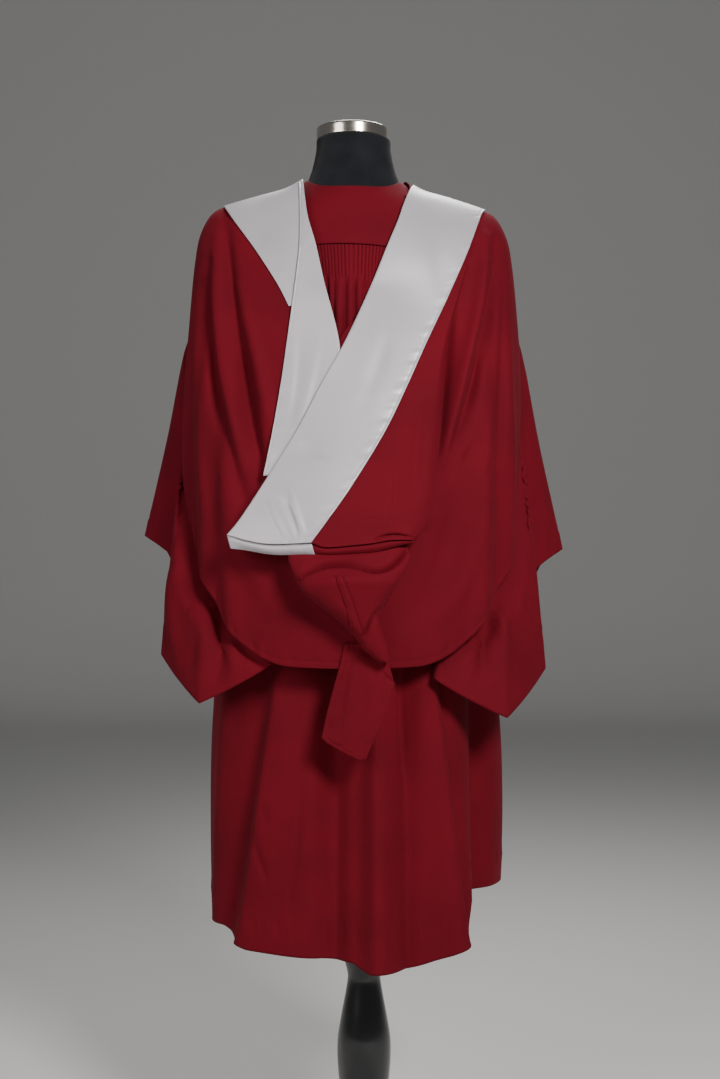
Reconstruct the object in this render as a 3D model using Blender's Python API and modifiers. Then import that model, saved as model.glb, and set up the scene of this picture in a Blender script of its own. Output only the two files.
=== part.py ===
"""Graduation gown with its hood, worn by a limbless dress form on a turned stand.

Metres, +Z up. The wearer's back faces -Y and the wearer's right is +X. The origin
is the middle of the stand's underside. Cloth hangs on two ringed surfaces, one
for the gown and one for the hood's cape. A ring is a squared ellipse round the
body. An angle of 0 is the middle of the back, 90 degrees the wearer's right
shoulder, -90 the left shoulder and 180 the middle of the front.
"""

import bpy
import numpy as np

CLOTH = 0.0015
SATIN = 0.0014
CENTRE_X = -0.017
SHOULDER_TILT = 0.014
TILT_FROM_Z = 1.10
TILT_FULL_Z = 1.45
RIDGE_POWER = 4.0

GOWN_POWER = 0.88
CAPE_POWER = 0.84
FORM_POWER = 0.95

GOWN_INSET = 0.0030
CAPE_LIFT = 0.0006
SATIN_LIFT = 0.0040

NECK_CAP_RADIUS = 0.0576
NECK_CAP_X = -0.020
NECK_CAP_BOTTOM = 1.6532
NECK_CAP_TOP = 1.6730
# radius, z
NECK_CAP_OUTLINE = (
    (NECK_CAP_RADIUS - 0.006, NECK_CAP_TOP), (NECK_CAP_RADIUS - 0.0015, NECK_CAP_TOP - 0.0010),
    (NECK_CAP_RADIUS, NECK_CAP_TOP - 0.0035), (NECK_CAP_RADIUS, NECK_CAP_BOTTOM + 0.0010),
    (NECK_CAP_RADIUS - 0.001, NECK_CAP_BOTTOM),
)

POST_TOP = 0.430
POLE_RADIUS = 0.014
POLE_TOP = 0.8545
POLE_GAP = 0.0004

YOKE_ROW = 3.3
UNDERARM_ROW = 7.0
ARMHOLE_HALF_ANGLE = 35.0
SLEEVE_EASE = 0.955
SLEEVE_CELLS = 25
ROW_SAMPLES = 400
BODY_ROOM = 0.009
CAPE_ROOM = 0.012
CAPE_ROOM_SLOPE = 0.10
SKIRT_FOLDS_FROM_ROW = 8.6
SKIRT_FOLDS_FULL_ROW = 11.6
EDGE_MARGIN = 0.35
HEM_ROW = 14.0

FLUTES = 52
PLAIN_CELLS = 4
FLUTE_SHARE = 0.64
FLUTE_HEIGHT = 0.0024
TAIL_BOW = 0.0018
TAIL_WALL = 0.0025
POUCH_WALL = 0.0012
POUCH_SIDE_POWER = 0.9
POUCH_DEPTH_POWER = 0.8
BAND_TURNUP_HEIGHT = 0.016
COWL_TURNUP_HEIGHT = 0.014
TURNUP_TUCK = 0.006
TURNUP_GAP = 0.0006
HEM_SHIFT_FROM_ROW = 10.5
FOLDS_START_ROW = 8.0

# rows of points down each panel, as places in its table of rings
YOKE_ROWS = np.linspace(0, YOKE_ROW - 0.02, 5)
YOKE_HALF_ANGLE = 96
PLEAT_ROWS = (3.34, 4.1, 4.8)
BACK_ROWS = (5.4, 6.1, 6.7, 7.1, 8.4, 9.8, 11.2, 12.6, HEM_ROW)
FRONT_ROWS = (0, 1.1, 2.2, 3.3, 3.7, 4.4, 5.2, 6.0, 6.6, 7.0, 8.2, 9.8, 11.2, 12.6, HEM_ROW)
SLEEVE_ROWS = 12
# angle of the front panel's shoulder edge and its side seam, angles of its front edge
FRONT_SHOULDER_ANGLE = 96.6
SIDE_SEAM_ANGLE = 90.3
NECK_EDGE_ANGLE = 146.0
FRONT_EDGE_ANGLE = 167.0
# angles of the cape's points, from the middle of the back
CAPE_HALF_ANGLES = (0, 4, 8, 12, 16, 21, 27, 36, 46, 55, 62, 67, 71, 75, 79, 84, 92,
                    103, 115, 128, 142, 155, 165, 173)

# half width, z at the side, depth at the back, z there, depth at the front, z there
GOWN_RINGS = np.array([
    (0.079, 1.585, 0.075, 1.564, 0.069, 1.542),
    (0.110, 1.565, 0.088, 1.545, 0.081, 1.519),
    (0.150, 1.554, 0.103, 1.515, 0.095, 1.490),
    (0.188, 1.5415, 0.120, 1.475, 0.108, 1.450),
    (0.203, 1.500, 0.133, 1.430, 0.118, 1.410),
    (0.204, 1.440, 0.146, 1.380, 0.124, 1.370),
    (0.203, 1.360, 0.156, 1.320, 0.130, 1.320),
    (0.203, 1.270, 0.166, 1.250, 0.135, 1.250),
    (0.207, 1.150, 0.176, 1.150, 0.142, 1.150),
    (0.214, 1.000, 0.186, 1.000, 0.152, 1.000),
    (0.222, 0.860, 0.192, 0.860, 0.166, 0.860),
    (0.231, 0.700, 0.202, 0.700, 0.182, 0.710),
    (0.234, 0.560, 0.212, 0.560, 0.196, 0.580),
    (0.233, 0.450, 0.220, 0.445, 0.206, 0.470),
    (0.231, 0.385, 0.224, 0.369, 0.212, 0.402),
])

CAPE_RINGS = np.array([
    (0.0795, 1.5865, 0.0760, 1.5660, 0.0700, 1.5440),
    (0.111, 1.5665, 0.0890, 1.5470, 0.0820, 1.5210),
    (0.152, 1.555, 0.1045, 1.517, 0.0965, 1.492),
    (0.200, 1.5405, 0.122, 1.477, 0.111, 1.450),
    (0.229, 1.5265, 0.135, 1.440, 0.120, 1.415),
    (0.248, 1.492, 0.147, 1.400, 0.127, 1.380),
    (0.256, 1.450, 0.160, 1.360, 0.134, 1.345),
    (0.262, 1.390, 0.178, 1.300, 0.142, 1.290),
    (0.268, 1.300, 0.200, 1.220, 0.150, 1.220),
    (0.270, 1.200, 0.218, 1.140, 0.158, 1.140),
    (0.268, 1.090, 0.233, 1.050, 0.166, 1.050),
    (0.264, 0.980, 0.243, 0.950, 0.172, 0.950),
    (0.259, 0.880, 0.247, 0.865, 0.178, 0.865),
    (0.252, 0.820, 0.245, 0.808, 0.182, 0.808),
])

FORM_RINGS = np.array([
    (0.0570, 1.6520, 0.0570, 1.6520, 0.0570, 1.6520),
    (0.0605, 1.6500, 0.0605, 1.6500, 0.0605, 1.6500),
    (0.0612, 1.6350, 0.0605, 1.6320, 0.0600, 1.6300),
    (0.0650, 1.6150, 0.0620, 1.6050, 0.0605, 1.6000),
    (0.0710, 1.5938, 0.0655, 1.5790, 0.0600, 1.5660),
    (0.0818, 1.5742, 0.0730, 1.5540, 0.0650, 1.5340),
    (0.1100, 1.5584, 0.0850, 1.5330, 0.0750, 1.5090),
    (0.1490, 1.5482, 0.0990, 1.5050, 0.0900, 1.4800),
    (0.1780, 1.5371, 0.1130, 1.4660, 0.1030, 1.4420),
    (0.1890, 1.5200, 0.1200, 1.4420, 0.1080, 1.4200),
    (0.1920, 1.4700, 0.1290, 1.4000, 0.1140, 1.3850),
    (0.1880, 1.3800, 0.1360, 1.3400, 0.1200, 1.3300),
    (0.1760, 1.2600, 0.1360, 1.2500, 0.1180, 1.2400),
    (0.1500, 1.1200, 0.1180, 1.1200, 0.1000, 1.1200),
    (0.1640, 0.9800, 0.1330, 0.9800, 0.1050, 0.9800),
    (0.1680, 0.9000, 0.1380, 0.9000, 0.1080, 0.9000),
    (0.1600, 0.8620, 0.1300, 0.8620, 0.1000, 0.8620),
    (0.1450, 0.8550, 0.1150, 0.8550, 0.0880, 0.8550),
])

# angle, ring where the cape begins (the neck opening and its two long points)
CAPE_TOP = np.array([
    (0, 7.10), (8, 5.85), (15, 3.95), (26, 2.45), (47, 1.05), (90, 0.12),
    (120, 0.15), (145, 0.90), (163, 3.20), (173, 6.40),
])
CAPE_TOP_ANGLE = -4.0
CAPE_TOP_REACH = 60

# angle, ring where the cape ends
CAPE_EDGE = np.array([
    (0, 13.0), (20, 12.9), (30, 12.6), (39, 12.2), (47, 11.7), (55, 11.3),
    (62, 11.0), (67, 10.6), (71, 10.1), (75, 9.6), (79, 9.0), (84, 8.1),
    (92, 7.2), (105, 6.6), (122, 6.2), (145, 6.2), (163, 6.6), (173, 7.0),
])

# angle at the waist, angle at the hem, half width to the left, half width to the
# right, height of the fold
SKIRT_FOLDS = np.array([
    (-80, -82, 9, 9, 0.008), (-50, -66, 8, 8, 0.012), (-20, -56, 6, 4, -0.004),
    (-13, -45, 4, 11, 0.014), (-3, -3, 6, 4, -0.016), (7, 8, 3.5, 6.5, 0.024),
    (17, 18, 3, 4, -0.008), (17, 43, 10, 3, 0.022), (27, 50, 3, 5, 0.006),
    (58, 60, 8, 8, -0.024), (84, 88, 12, 12, 0.010), (112, 116, 10, 10, 0.014),
    (140, 143, 10, 10, 0.012), (160, 161, 8, 8, 0.010), (-104, -106, 10, 10, 0.012),
    (-130, -133, 10, 10, 0.014), (-158, -159, 9, 9, 0.012),
])
# angle, how far the hem lies above the lowest ring there
HEM_SHIFT = np.array([
    (-180, 0.000), (-130, 0.000), (-90, 0.014), (-60, 0.021), (-49, 0.010), (-40, 0.004),
    (-25, 0.002), (-10, 0.001), (-3, -0.003), (2, -0.004), (4, -0.012), (6, -0.018),
    (12, -0.018), (20, -0.015), (28, -0.008), (36, -0.002), (42, 0.004), (45, 0.010),
    (47, 0.030), (50, 0.066), (60, 0.072), (88, 0.064), (110, 0.030), (130, 0.005), (180, 0.000),
])
# soft folds under the pleats, in the opening between the bands
BACK_FOLDS = np.array([
    (-13, -13, 3.0, 3.0, 0.007), (-5, -5, 3.0, 3.0, 0.009), (3, 3, 3.0, 3.0, 0.006),
])

# angle, half width and height of the cape's long folds
CAPE_FOLDS = np.array([
    (-73, 6, 0.010), (-55, 5, 0.010), (-41, 5, 0.008), (44, 5, 0.012), (60, 6, 0.012),
])

# out from the middle, y and z of seven places round each sleeve ring
SLEEVE_PLACES = ("top", "groove", "outer back", "back", "tip", "inner", "front")
ARMHOLE_PLACES = (0, 40, 85, 135, 190, 240, 300)
SLEEVE_RINGS = np.array([
    ((0.241, 0.000, 1.498), (0.234, -0.036, 1.480), (0.219, -0.070, 1.435), (0.206, -0.088, 1.330),
     (0.214, -0.010, 1.246), (0.208, 0.070, 1.315), (0.219, 0.072, 1.430)),
    ((0.254, 0.005, 1.400), (0.247, -0.040, 1.385), (0.236, -0.075, 1.345), (0.212, -0.108, 1.250),
     (0.214, -0.050, 1.180), (0.222, 0.060, 1.215), (0.234, 0.070, 1.330)),
    ((0.282, 0.010, 1.285), (0.262, -0.040, 1.262), (0.256, -0.085, 1.215), (0.222, -0.135, 1.120),
     (0.182, -0.150, 1.070), (0.236, 0.050, 1.110), (0.270, 0.098, 1.210)),
    ((0.306, 0.015, 1.165), (0.276, -0.040, 1.125), (0.278, -0.092, 1.065), (0.232, -0.150, 0.970),
     (0.150, -0.185, 0.945), (0.246, 0.040, 1.000), (0.296, 0.112, 1.095)),
    ((0.343, 0.020, 1.006), (0.290, -0.030, 0.970), (0.300, -0.110, 0.820), (0.232, -0.200, 0.752),
     (0.122, -0.208, 0.812), (0.256, 0.030, 0.870), (0.322, 0.130, 0.980)),
])
# how far each ring is pulled straight between its places, so that the hem has corners
SLEEVE_CORNERS = (0.0, 0.0, 0.15, 0.45, 0.80)
RIGHT_SLEEVE_DROP = 0.022

# inner edge x and z, outer edge x and z, lift off the cape, stand-off to the back
BAND_RIGHT = np.array([
    (0.078, 1.5715, 0.195, 1.5290, 0.0050, 0.000),
    (0.062, 1.5300, 0.187, 1.5180, 0.0046, 0.000),
    (0.052, 1.4980, 0.176, 1.4900, 0.0040, 0.000),
    (0.034, 1.4520, 0.160, 1.4480, 0.0040, 0.000),
    (0.006, 1.3800, 0.131, 1.3800, 0.0045, 0.000),
    (-0.029, 1.3000, 0.094, 1.3000, 0.0080, 0.001),
    (-0.064, 1.2300, 0.069, 1.2300, 0.0085, 0.004),
    (-0.104, 1.1590, 0.030, 1.1590, 0.0085, 0.010),
    (-0.155, 1.0790, -0.017, 1.0790, 0.0085, 0.024),
    (-0.186, 1.0280, -0.052, 1.0240, 0.0085, 0.036),
    (-0.200, 1.0060, -0.075, 0.9960, 0.0085, 0.042),
])
SHOULDER_LEFT = np.array([
    (-0.104, 1.5790, -0.226, 1.5360, 0.0048, 0.000),
    (-0.102, 1.5400, -0.206, 1.5050, 0.0040, 0.000),
    (-0.102, 1.4700, -0.168, 1.4500, 0.0040, 0.000),
    (-0.108, 1.4000, -0.134, 1.3950, 0.0040, 0.000),
    (-0.112, 1.3600, -0.116, 1.3580, 0.0040, 0.000),
])
BAND_LEFT = np.array([
    (-0.0965, 1.5700, -0.1020, 1.5700, 0.0027, 0.000),
    (-0.0940, 1.5400, -0.1013, 1.5380, 0.0028, 0.000),
    (-0.087, 1.5020, -0.1000, 1.5000, 0.0045, 0.000),
    (-0.073, 1.4560, -0.0995, 1.4520, 0.0050, 0.001),
    (-0.062, 1.3960, -0.1050, 1.3960, 0.0050, 0.002),
    (-0.037, 1.2900, -0.1190, 1.2900, 0.0042, 0.001),
    (-0.052, 1.2350, -0.1260, 1.2350, 0.0042, 0.002),
    (-0.092, 1.1650, -0.1370, 1.1650, 0.0042, 0.004),
    (-0.135, 1.0950, -0.1500, 1.0950, 0.0042, 0.008),
])
COWL = np.array([
    (0.1560, 1.4300, 0.1620, 1.4280, 0.0028, 0.000),
    (0.1355, 1.3800, 0.1480, 1.3800, 0.0032, 0.000),
    (0.0980, 1.3000, 0.1260, 1.3000, 0.0060, 0.004),
    (0.0730, 1.2300, 0.1180, 1.2300, 0.0070, 0.008),
    (0.0340, 1.1590, 0.1120, 1.1590, 0.0080, 0.016),
    (-0.0130, 1.0790, 0.1020, 1.0790, 0.0085, 0.028),
    (-0.0480, 1.0240, 0.0880, 1.0240, 0.0085, 0.038),
    (-0.0710, 0.9940, 0.0680, 0.9960, 0.0085, 0.042),
])
# angle and ring of the inner edge, angle and ring of the outer edge
FRONT_BAND = np.array([
    (93, 0.16, 92, 3.05), (118, 0.20, 108, 3.25), (145, 1.00, 130, 3.70),
    (160, 2.80, 148, 4.60), (168, 4.70, 161, 5.90), (173, 6.45, 171, 6.90),
])

# z, left x, right x, y of its near side, y of its far side
POUCH = np.array([
    (0.9880, -0.1080, 0.0620, -0.2770, -0.2600),
    (0.9720, -0.1110, 0.0660, -0.2830, -0.2570),
    (0.9490, -0.1030, 0.0550, -0.3000, -0.2555),
    (0.9270, -0.0920, 0.0400, -0.3030, -0.2555),
    (0.9080, -0.0700, 0.0280, -0.2990, -0.2555),
    (0.8870, -0.0430, 0.0200, -0.2940, -0.2555),
    (0.8620, -0.0170, 0.0260, -0.2880, -0.2555),
    (0.8400, 0.0000, 0.0330, -0.2820, -0.2555),
    (0.8210, 0.0230, 0.0360, -0.2740, -0.2555),
])
# z, left x, right x, y
TAIL = np.array([
    (0.8460, -0.0290, 0.0250, -0.2498),
    (0.8130, -0.0390, 0.0380, -0.2498),
    (0.7740, -0.0490, 0.0440, -0.2510),
    (0.7370, -0.0600, 0.0330, -0.2520),
    (0.7080, -0.0640, 0.0180, -0.2530),
    (0.6880, -0.0430, 0.0080, -0.2530),
    (0.6750, -0.0170, 0.0010, -0.2530),
])
# radius and height of the post's turned outline, top to bottom
POST_OUTLINE = (
    (0.022, 0.430), (0.0335, 0.422), (0.0350, 0.400), (0.0345, 0.360),
    (0.0320, 0.315), (0.0280, 0.296), (0.0268, 0.284), (0.0300, 0.262),
    (0.0370, 0.225), (0.0428, 0.190), (0.0440, 0.165), (0.0430, 0.140),
    (0.0405, 0.115), (0.0350, 0.088), (0.0285, 0.066), (0.0300, 0.054),
    (0.0340, 0.046), (0.0360, 0.0406),
)
BASE_OUTLINE = (
    (0.030, 0.0402), (0.120, 0.0340), (0.158, 0.0280), (0.168, 0.0200),
    (0.170, 0.0100), (0.166, 0.0000),
)


# Curves and surfaces

def through(values, places):
    """Rows of a table at fractional places, on a smooth curve through all rows."""
    places = np.asarray(places, dtype=float)
    last = len(values) - 1
    first = np.clip(np.floor(places).astype(int), 0, last - 1)
    share = (places - first)[..., None]
    before = values[np.clip(first - 1, 0, last)]
    start = values[first]
    end = values[first + 1]
    after = values[np.clip(first + 2, 0, last)]
    slope_start = 0.5 * (end - before)
    slope_end = 0.5 * (after - start)
    square = share * share
    cube = square * share
    return ((2 * cube - 3 * square + 1) * start + (cube - 2 * square + share) * slope_start
            + (3 * square - 2 * cube) * end + (cube - square) * slope_end)


def soft_step(value, low, high):
    """0 below low, 1 above high and a smooth rise between."""
    share = np.clip((value - low) / (high - low), 0.0, 1.0)
    return share * share * (3 - 2 * share)


def signed_power(value, power):
    return np.sign(value) * np.abs(value) ** power


def ring_point(rings, power, angle, row):
    """Point of a ringed surface at an angle in degrees and a ring number."""
    angle = np.radians(np.asarray(angle, dtype=float))
    sizes = through(rings, row)
    sine = np.sin(angle)
    cosine = np.cos(angle)
    at_back = cosine >= 0
    across = sizes[..., 0] * signed_power(sine, power)
    depth = np.where(at_back, sizes[..., 2], sizes[..., 4])
    middle_z = np.where(at_back, sizes[..., 3], sizes[..., 5])
    ridge = np.abs(sine) ** RIDGE_POWER
    z = sizes[..., 1] * ridge + middle_z * (1 - ridge)
    z = z - SHOULDER_TILT * across * soft_step(z, TILT_FROM_Z, TILT_FULL_Z)
    return np.stack([CENTRE_X + across, -depth * signed_power(cosine, power), z], axis=-1)


def outward(rings, power, angle, row):
    """Unit normal of a ringed surface, pointing away from the body."""
    turn = 0.5
    down = 0.05
    round_way = ring_point(rings, power, angle + turn, row) - ring_point(rings, power, angle - turn, row)
    down_way = ring_point(rings, power, angle, row + down) - ring_point(rings, power, angle, row - down)
    normal = np.cross(down_way, round_way)
    return normal / np.linalg.norm(normal, axis=-1, keepdims=True)


def fold_height(angle, folds, share):
    """Sum of soft ridges: a bell curve at each fold's angle, between its two ends."""
    total = np.zeros(np.broadcast(angle, share).shape)
    for top_angle, hem_angle, left_width, right_width, height in folds:
        away = angle - top_angle - (hem_angle - top_angle) * share
        half_width = np.where(away < 0, left_width, right_width)
        total = total + height * np.exp(-(away / half_width) ** 2)
    return total


def cape_fold_height(angle, row):
    """Long folds of the cape, which grow from the shoulder down."""
    total = np.zeros(np.broadcast(angle, row).shape)
    for middle, half_width, height in CAPE_FOLDS:
        total = total + height * np.exp(-((angle - middle) / half_width) ** 2)
    return total * soft_step(row, 6.0, 10.0)


def cape_point(angle, row, lift):
    """Point on the cape's surface, lifted off it by the given amount."""
    angle, row = np.broadcast_arrays(np.asarray(angle, float), np.asarray(row, float))
    away = lift + cape_fold_height(angle, row)
    return (ring_point(CAPE_RINGS, CAPE_POWER, angle, row)
            + outward(CAPE_RINGS, CAPE_POWER, angle, row) * away[..., None])


def gown_point(angle, row, lift=-GOWN_INSET):
    """Point on the gown's surface with its skirt folds."""
    angle, row = np.broadcast_arrays(np.asarray(angle, float), np.asarray(row, float))
    share = np.clip((row - FOLDS_START_ROW) / (HEM_ROW - FOLDS_START_ROW), 0.0, 1.0)
    skirt = soft_step(row, SKIRT_FOLDS_FROM_ROW, SKIRT_FOLDS_FULL_ROW)
    under_pleats = soft_step(row, 4.3, 5.6) * (1 - soft_step(row, 6.5, 8.0))
    away = (lift + fold_height(angle, SKIRT_FOLDS, share) * skirt
            + fold_height(angle, BACK_FOLDS, share) * under_pleats)
    point = (ring_point(GOWN_RINGS, GOWN_POWER, angle, row)
             + outward(GOWN_RINGS, GOWN_POWER, angle, row) * away[..., None])
    shift = np.interp(angle, HEM_SHIFT[:, 0], HEM_SHIFT[:, 1])
    point[..., 2] += shift * soft_step(row, HEM_SHIFT_FROM_ROW, HEM_ROW)
    return point


def find_on_cape(x, z):
    """Angle and ring of the cape's back where it is seen at x and z."""
    low = np.zeros_like(x)
    high = np.full_like(x, len(CAPE_RINGS) - 1.0)
    for _ in range(40):
        row = (low + high) / 2
        half_width = through(CAPE_RINGS, row)[..., 0]
        sine = signed_power(np.clip((x - CENTRE_X) / half_width, -1, 1), 1 / CAPE_POWER)
        angle = np.degrees(np.arcsin(sine))
        above = ring_point(CAPE_RINGS, CAPE_POWER, angle, row)[..., 2] > z
        low = np.where(above, row, low)
        high = np.where(above, high, row)
    return angle, row


def ring_radius(rings, power, point):
    """Distance from the axis to some points, and to a ringed surface behind each."""
    across = point[:, 0] - CENTRE_X
    along = -point[:, 1]
    radius = np.hypot(across, along)
    rows = np.linspace(0, len(rings) - 1, ROW_SAMPLES)
    sizes = through(rings, rows)
    ridge = (np.abs(across / radius) ** (RIDGE_POWER / power))[:, None]
    middle_z = np.where(along[:, None] >= 0, sizes[None, :, 3], sizes[None, :, 5])
    heights = sizes[None, :, 1] * ridge + middle_z * (1 - ridge)
    nearest = np.argmin(np.abs(heights - point[:, 2:3]), axis=1)
    size = sizes[nearest]
    depth = np.where(along >= 0, size[:, 2], size[:, 4])
    sharpness = 2 / power
    reach = (np.abs(across / radius / size[:, 0]) ** sharpness
             + np.abs(along / radius / depth) ** sharpness) ** (-1 / sharpness)
    return radius, reach, rows[nearest], size, depth


# Building helpers

def collection_named(name):
    found = bpy.data.collections.new(name)
    bpy.context.scene.collection.children.link(found)
    return found


def material_named(name, colour, roughness, metallic=0.0):
    material = bpy.data.materials.new(name)
    material.use_nodes = True
    shader = material.node_tree.nodes["Principled BSDF"]
    shader.inputs["Base Color"].default_value = (*colour, 1.0)
    shader.inputs["Roughness"].default_value = roughness
    shader.inputs["Metallic"].default_value = metallic
    return material


def strip_faces(first, upper, second, lower, closed):
    """Faces between two rows of points, which match or halve from one to the next."""
    cells = lower if closed else lower - 1
    faces = []
    for cell in range(cells):
        following = (cell + 1) % lower
        if upper == lower:
            faces.append((first + cell, second + cell, second + following, first + following))
        else:
            left = first + 2 * cell
            faces.append((left, second + cell, left + 1))
            faces.append((left + 1, second + cell, second + following))
            faces.append((left + 1, second + following, left + 2))
    return faces


def add_mesh(name, points, faces, material):
    mesh = bpy.data.meshes.new(name)
    mesh.from_pydata([tuple(point) for point in points], [], faces)
    mesh.materials.append(material)
    mesh.shade_smooth()
    piece = bpy.data.objects.new(name, mesh)
    PARTS.objects.link(piece)
    return piece


def add_wall(name, rows, material, closed=False, thickness=CLOTH, flip=False):
    """A sheet of cloth: an open grid of points, thickened away from the body."""
    starts = np.cumsum([0] + [len(row) for row in rows])
    faces = []
    for index in range(len(rows) - 1):
        faces += strip_faces(int(starts[index]), len(rows[index]),
                             int(starts[index + 1]), len(rows[index + 1]), closed)
    if flip:
        faces = [face[::-1] for face in faces]
    piece = add_mesh(name, np.concatenate(rows), faces, material)
    wall = piece.modifiers.new("Wall", "SOLIDIFY")
    wall.thickness = thickness
    wall.offset = 1.0
    return piece


def add_turned(name, outline, material, steps):
    """A turned piece: its outline, top to bottom, swept round the Z axis."""
    points = [(0.0, 0.0, outline[0][1])]
    points += [(radius, 0.0, height) for radius, height in outline]
    points += [(0.0, 0.0, outline[-1][1])]
    edges = [(index, index + 1) for index in range(len(points) - 1)]
    mesh = bpy.data.meshes.new(name)
    mesh.from_pydata(points, edges, [])
    mesh.materials.append(material)
    piece = bpy.data.objects.new(name, mesh)
    PARTS.objects.link(piece)
    turn = piece.modifiers.new("Turn", "SCREW")
    turn.steps = steps
    turn.render_steps = steps
    turn.use_merge_vertices = True
    turn.merge_threshold = 0.0001
    turn.use_smooth_shade = True
    return piece


# Gown

def armhole_half_angle(row):
    """Angle from the shoulder to the armhole's edge, 0 above and below it."""
    middle = (YOKE_ROW + UNDERARM_ROW) / 2
    half = (UNDERARM_ROW - YOKE_ROW) / 2
    inside = 1 - ((np.asarray(row, float) - middle) / half) ** 2
    return ARMHOLE_HALF_ANGLE * np.sqrt(np.clip(inside, 0.0, 1.0))


def add_yoke():
    angles = np.linspace(-YOKE_HALF_ANGLE, YOKE_HALF_ANGLE, 29)
    rows = [gown_point(angles, np.full_like(angles, row)) for row in YOKE_ROWS]
    return add_wall("gown_yoke", rows, RED)


def back_columns(cells, row):
    """Angles of the back's points: even in width at the pleats, even in angle below."""
    flute_cells = FLUTES * cells // (FLUTES + 2 * PLAIN_CELLS)
    plain = (cells - flute_cells) // 2
    even = np.linspace(-1, 1, cells + 1)
    flutes = np.linspace(-FLUTE_SHARE, FLUTE_SHARE, flute_cells + 1)
    side = np.linspace(FLUTE_SHARE, 1, plain + 1)[1:]
    wide = np.concatenate([-side[::-1], flutes, side])
    half = 90.0 - armhole_half_angle(row)
    top = np.degrees(np.arcsin(wide * np.sin(np.radians(half))))
    blend = soft_step(row, 4.6, 9.0)
    return (1 - blend) * top + blend * half * even


def add_back():
    cells = FLUTES + 2 * PLAIN_CELLS
    rows = []
    for row in PLEAT_ROWS:
        angles = back_columns(2 * cells, row)
        number = np.arange(2 * cells + 1)
        fluted = (np.abs(number - cells) < FLUTES) & (number % 2 == 1)
        height = FLUTE_HEIGHT * (1 - soft_step(row, 4.3, 5.2))
        rows.append(gown_point(angles, np.full_like(angles, row), -GOWN_INSET + height * fluted))
    for row in BACK_ROWS:
        angles = back_columns(cells, row)
        rows.append(gown_point(angles, np.full_like(angles, row)))
    return add_wall("gown_back", rows, RED)


def add_front(name, side):
    rows = []
    for row in FRONT_ROWS:
        shoulder = FRONT_SHOULDER_ANGLE + (SIDE_SEAM_ANGLE - FRONT_SHOULDER_ANGLE) * soft_step(row, 6.0, 7.0)
        start = max(shoulder, 90.0 + armhole_half_angle(row))
        end = NECK_EDGE_ANGLE + (FRONT_EDGE_ANGLE - NECK_EDGE_ANGLE) * soft_step(row, 0.0, 4.5)
        angles = side * np.linspace(start, end, 12)
        rows.append(gown_point(angles, np.full_like(angles, float(row))))
    return add_wall(name, rows, RED, flip=side < 0)


def clear_of_layers(points):
    """Sleeve points moved out of the gown's body and in under the cape."""
    radius, reach, row, size, depth = ring_radius(GOWN_RINGS, GOWN_POWER, points)
    angle = np.degrees(np.arctan2(points[..., 0] - CENTRE_X, -points[..., 1]))
    share = np.clip((row - FOLDS_START_ROW) / (HEM_ROW - FOLDS_START_ROW), 0.0, 1.0)
    folds = fold_height(angle, SKIRT_FOLDS, share) * soft_step(row, SKIRT_FOLDS_FROM_ROW, SKIRT_FOLDS_FULL_ROW)
    target = np.maximum(radius, reach + BODY_ROOM + np.clip(folds, 0, None))
    _, cape_reach, row, size, depth = ring_radius(CAPE_RINGS, CAPE_POWER, points)
    across = np.abs(points[..., 0] - CENTRE_X) / size[..., 0]
    along = -points[..., 1] / depth
    angle = np.degrees(np.arctan2(across ** (1 / CAPE_POWER), signed_power(along, 1 / CAPE_POWER)))
    below = row - np.interp(angle, CAPE_EDGE[:, 0], CAPE_EDGE[:, 1]) - EDGE_MARGIN
    limit = cape_reach - CAPE_ROOM + CAPE_ROOM_SLOPE * np.clip(below, 0, None)
    target = np.where(angle < 130, np.minimum(target, limit), target)
    scale = target / radius
    moved = points.copy()
    moved[..., 0] = CENTRE_X + (points[..., 0] - CENTRE_X) * scale
    moved[..., 1] = points[..., 1] * scale
    return moved


def sleeve_loop(ring, places, straightness):
    """Closed curve through a ring's places, pulled straight between them by a share."""
    wrapped = np.concatenate([ring[-1:], ring, ring[:2]])
    first = np.floor(places).astype(int)
    share = (places - first)[:, None]
    straight = wrapped[first + 1] * (1 - share) + wrapped[first + 2] * share
    return through(wrapped, places + 1) * (1 - straightness) + straight * straightness


def add_sleeve(name, side, drop):
    count = len(SLEEVE_PLACES)
    places = np.linspace(0, count, SLEEVE_CELLS, endpoint=False)
    spin = np.radians(np.interp(places, np.arange(count + 1), ARMHOLE_PLACES + (360,)))
    middle = (YOKE_ROW + UNDERARM_ROW) / 2
    half = (UNDERARM_ROW - YOKE_ROW) / 2
    hole_rows = middle - half * SLEEVE_EASE * np.cos(spin)
    hole_angles = 90 - ARMHOLE_HALF_ANGLE * SLEEVE_EASE * np.sin(spin)
    armhole = gown_point(side * hole_angles, hole_rows)
    loops = []
    for index, (ring, straightness) in enumerate(zip(SLEEVE_RINGS, SLEEVE_CORNERS)):
        loop = sleeve_loop(ring, places, straightness)
        loop[:, 0] = CENTRE_X + side * loop[:, 0]
        loop[:, 2] -= drop * index / (len(SLEEVE_RINGS) - 1)
        loops.append(loop)
    rings = np.stack([armhole] + loops)
    flat = rings.reshape(len(rings), -1)
    rows = [armhole]
    for place in np.linspace(0, len(rings) - 1, SLEEVE_ROWS)[1:]:
        row = through(flat, place).reshape(-1, 3)
        share = soft_step(place, 0.0, 0.6)
        rows.append(row * (1 - share) + clear_of_layers(row) * share)
    return add_wall(name, rows, RED, closed=True, flip=side > 0)


# Hood

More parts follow.
